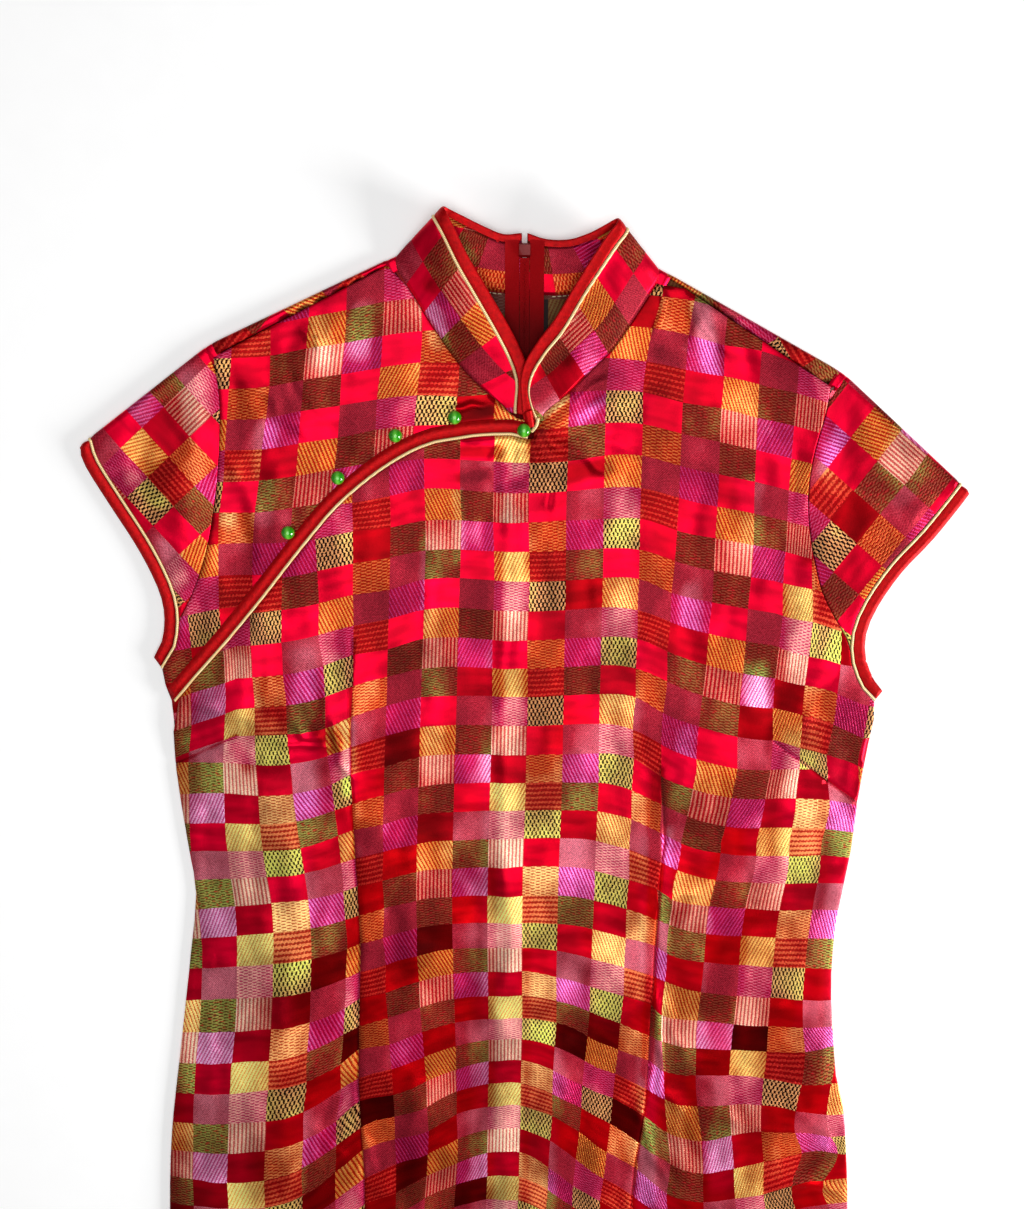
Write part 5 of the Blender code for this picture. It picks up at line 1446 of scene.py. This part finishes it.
# ------------------------------------------------------------------ small parts
def bead_piece(node):
    """A drilled glass bead with its thread."""
    low, high = (np.array(c) * 1000 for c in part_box(node))
    middle, radius = (low + high) / 2, (high - low)[2] * 0.56
    hole, around, along = 0.55, 28, 16
    start = math.asin(hole / radius)
    profile = [(radius * math.sin(a), -radius * math.cos(a))
               for a in np.linspace(start, math.pi - start, along)]
    depth = profile[-1][1]
    profile += [(hole * 0.9, depth * 0.9), (hole * 0.9, -depth * 0.9)]
    points, faces, corners = [], [], []
    for k in range(around):
        a = 2 * math.pi * k / around
        points += [(z, r * math.cos(a), r * math.sin(a)) for r, z in profile]
    count = len(profile)
    for k in range(around):
        n = (k + 1) % around
        for j in range(count):
            m = (j + 1) % count
            faces.append([k * count + j, n * count + j, n * count + m, k * count + m])
            corners += [(points[i][0] / radius, points[i][1] / radius) for i in faces[-1]]
    points = np.array(points) * 0.998 + middle
    obj = make_piece(node + "_glass", points, faces, [LOOKS["bead"]], corners)
    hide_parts(node)
    ends = [(-radius * 0.4, 0), (-radius * 0.98, 0.1), (-radius * 1.12, -radius * 0.75),
            (-radius * 0.72, -radius * 0.92)]
    for sign, label in ((1, "a"), (-1, "b")):
        path = [middle + np.array((sign * x, 0.0, z)) for x, z in ends]
        tube_piece(f"{node}_thread_{label}", path, 0.28, LOOKS["thread"])
    return obj


def tube_piece(name, path, radius, material, body="dress"):
    """A thin round thread along a path."""
    curve = bpy.data.curves.new(name, "CURVE")
    curve.dimensions = "3D"
    curve.bevel_depth = radius * MM
    curve.bevel_resolution = 2
    curve.use_fill_caps = True
    spline = curve.splines.new("NURBS")
    spline.points.add(len(path) - 1)
    for point, p in zip(spline.points, path):
        point.co = (*(np.array(p) * MM), 1.0)
    spline.order_u = 3
    spline.use_endpoint_u = True
    curve.materials.append(material)
    obj = bpy.data.objects.new(name, curve)
    bpy.context.scene.collection.objects.link(obj)
    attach(obj, body)
    return obj


def rounded_copy(node, name, material, width, body):
    """The node's own form with its edges rounded."""
    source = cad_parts[node]
    mesh = source.data.copy()
    mesh.name = name
    bm = bmesh.new()
    bm.from_mesh(mesh)
    bmesh.ops.remove_doubles(bm, verts=bm.verts, dist=1e-6)
    bmesh.ops.dissolve_limit(bm, angle_limit=math.radians(3), verts=bm.verts, edges=bm.edges)
    bm.to_mesh(mesh)
    bm.free()
    mesh.materials.clear()
    mesh.materials.append(material)
    mesh.shade_smooth()
    obj = bpy.data.objects.new(name, mesh)
    bpy.context.scene.collection.objects.link(obj)
    bevel = obj.modifiers.new("edges", "BEVEL")
    bevel.width = width * MM
    bevel.segments = 3
    bevel.limit_method = "ANGLE"
    bevel.angle_limit = math.radians(35)
    bevel.harden_normals = True
    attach(obj, body)
    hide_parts(node)
    return obj


def zip_teeth():
    """The coil of the zip: interlocked nylon loops along its whole length."""
    points, faces, _ = outer_skin("zip_coil")
    tree = BVHTree.FromPolygons(points.tolist(), faces)
    low, high = (np.array(c) * 1000 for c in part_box("zip_coil"))
    middle = (low[0] + high[0]) / 2
    pitch, half = 1.45, (high[0] - low[0]) / 2 - 0.2
    verts, quads = [], []
    stations = np.arange(low[1] + 1.0, high[1] - 0.6, pitch)
    tops = heights([(middle, y) for y in stations], tree)
    ahead = heights([(middle, y + 1.0) for y in stations], tree)
    ring = 6
    for y, top, next_top in zip(stations, tops, ahead):
        slope = next_top - top
        for sign in (-1, 1):
            shift = pitch / 2 if sign > 0 else 0.0
            path = [(half, -0.95, 0.0), (half * 0.55, -0.45, 0.1), (0.0, -0.4, 0.25),
                    (-half * 0.18, -0.6, 0.3), (0.0, -0.8, 0.35), (half * 0.6, -0.9, 0.45)]
            first = len(verts)
            for i, (x, z, dy) in enumerate(path):
                for k in range(ring):
                    a = 2 * math.pi * k / ring
                    verts.append((middle + sign * x, y + shift + dy + 0.3 * math.cos(a),
                                  top + slope * (shift + dy) + z + 0.3 * math.sin(a)))
            for i in range(len(path) - 1):
                for k in range(ring):
                    m = (k + 1) % ring
                    a, b = first + i * ring, first + (i + 1) * ring
                    quads.append([a + k, b + k, b + m, a + m])
    obj = make_piece("zip_coil_teeth", np.array(verts) + (0, 0, 0.45), quads, [LOOKS["tape"]])
    return obj


# ------------------------------------------------------------------ room and light
FLOOR, FLOOR_LEVEL, FLOOR_GLOW = 4.0, -0.0004, 0.13
LIGHTS = [                              # name, place, target, size and brightness of its face
    ("overhead_softbox", (0.0, 0.25, 1.55), (0.0, 0.25, 0.0), (1.3, 1.5), 2.9),
    ("side_softbox", (1.6, -0.35, 0.45), (0.0, 0.15, 0.0), (0.8, 0.5), 34.0),
    ("left_softbox", (-1.6, -0.3, 1.1), (0.0, 0.0, 0.0), (0.6, 0.9), 0.8),
]


def area_light(name, place, target, size, radiance):
    """A soft box, by the brightness of its face."""
    data = bpy.data.lights.new(name, "AREA")
    data.shape = "RECTANGLE"
    data.size, data.size_y = size
    data.energy = radiance * math.pi * size[0] * size[1]
    obj = bpy.data.objects.new(name, data)
    obj.location = place
    obj.rotation_euler = (Vector(target) - Vector(place)).to_track_quat("-Z", "Y").to_euler()
    bpy.context.scene.collection.objects.link(obj)
    return obj


def make_room():
    mesh = bpy.data.meshes.new("floor")
    mesh.from_pydata([(x * FLOOR, y * FLOOR, FLOOR_LEVEL)
                      for x, y in ((-1, -1), (1, -1), (1, 1), (-1, 1))], [], [(0, 1, 2, 3)])
    mesh.materials.append(floor_material())
    floor = bpy.data.objects.new("floor", mesh)
    bpy.context.scene.collection.objects.link(floor)
    for light in LIGHTS:
        area_light(*light)
    world = bpy.data.worlds.new("studio")
    world.use_nodes = True
    background = world.node_tree.nodes["Background"]
    background.inputs["Color"].default_value = (1, 1, 1, 1)
    background.inputs["Strength"].default_value = 0.12
    bpy.context.scene.world = world
    bpy.context.scene.view_settings.view_transform = "Standard"


# ------------------------------------------------------------------ the whole dress
WEAVE = brocade_group()
LOOKS = {
    "brocade": brocade_material(WEAVE, "brocade"),
    "reverse": brocade_material(WEAVE, "brocade_reverse", reverse=True),
    # Each satin look takes a crown tone and a hollow tone, for its painted pucker shade.
    "binding": satin_material("red_binding", "C80006", "9C0004"),
    "piping": piping_material(),
    "bead": bead_material(),
    "tape": tape_material(),
    "enamel": enamel_material(),
    "thread": satin_material("red_thread", "A80408", "780204", 0.6, 0.0),
    "stitch": satin_material("pale_stitch", "E8D8B8", "B89C78", 0.6, 0.0),
}
STEPS = {"front": 3.2, "yoke": 3.0, "back": 6.5, "sleeve": 4.0}    # between a cloth's points


def stand_for(obj, node):
    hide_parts(node)
    return obj


make_camera()
make_room()

panels = {
    "front_main": front_panel("front_main", STEPS["front"], FRONT_LATTICE, darts=True),
    "front_yoke": front_panel("front_yoke", STEPS["yoke"], YOKE_LATTICE),
}
for side, name in NAMES.items():
    node = f"back_{name}"
    panels[node] = folded_panel(node, STEPS["back"], node, back_lattice(node))
    node = f"sleeve_{name}"
    panels[node] = folded_panel(node, STEPS["sleeve"], node, sleeve_lattice(node))
    panels[f"collar_{name}"] = collar_cloth(side)
for node, obj in panels.items():
    stand_for(obj, node)

for side, name in NAMES.items():
    tip = math.dist(*FOLD_LINES[f"back_{name}"])
    seam_end(name, "armhole_seam",
             (("back", tip - 5.0), ("back", tip - 1.0), ("sleeve", 1.0), ("sleeve", 5.0)), 16.0)
    seam_end(name, "neck_end", (("back", -4.0), ("back", -1.5), ("back", 1.0), ("back", 5.0)), 7.0)
    neck_seam(side)

trims = {"bind_opening": strip_panel("bind_opening", 1.7, 1.1, 2.8, LOOKS["binding"], pucker=0.15),
         "pipe_opening": strip_panel("pipe_opening", 0.6, 0, 0, LOOKS["piping"],
                                     tube=PIPE_WIDTH / 2 + SEAM)}
for side, name in NAMES.items():
    bind, pipe = f"bind_sleeve_{name}", f"pipe_sleeve_{name}"
    trims[bind] = folded_panel(bind, 1.7, f"sleeve_{name}", crown=1.1, reach=2.6,
                               materials=[LOOKS["binding"]], thick=STRIP, pucker=0.12)
    trims[pipe] = folded_panel(pipe, 0.55, f"sleeve_{name}", materials=[LOOKS["piping"]],
                               thick=0.4, tube=PIPE_WIDTH / 2 + SEAM, borders=CORD_BORDER)
    bind, pipe = f"bind_collar_{name}", f"pipe_collar_{name}"
    trims[bind] = collar_band(bind + "_cloth", side, BIND_WIDTH / 2, BIND_WIDTH / 2 + 0.2, 0.95,
                              LOOKS["binding"], 2.6, 18, 0.2)
    trims[pipe] = collar_band(pipe + "_cord", side, BIND_WIDTH + GAP + PIPE_WIDTH / 2,
                              PIPE_WIDTH / 2 + SEAM, 0.9, LOOKS["piping"], 2.0, 12, 0.0, 0.55)
for node, obj in trims.items():
    stand_for(obj, node)

corner = [touch(u, v, level=z) for u, v, z in
          ((538, 418, 11.2), (537.5, 423, 10.2), (535.5, 427.5, 9.0), (531.5, 431.5, 8.0))]
tube_piece("neck_corner_cord", corner, 1.1, LOOKS["piping"])
corner = [touch(u, v, level=z) for u, v, z in
          ((527.5, 411, 9.5), (529.5, 418, 8.8), (530.5, 426, 7.4))]
tube_piece("neck_corner_binding", corner, 3.4, LOOKS["binding"])

for node in ("bead_neck", "bead_1", "bead_2", "bead_3", "bead_4"):
    bead_piece(node)
zip_teeth()
for node in ("zip_tape_left", "zip_tape_right", "zip_coil"):
    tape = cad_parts[node]
    tape.data.materials.clear()
    tape.data.materials.append(LOOKS["tape"])
rounded_copy("zip_slider", "zip_slider_body", LOOKS["enamel"], 0.35, "dress")
rounded_copy("zip_pull", "zip_pull_tab", LOOKS["enamel"], 0.22, "pull_tab")

bpy.context.view_layer.update()
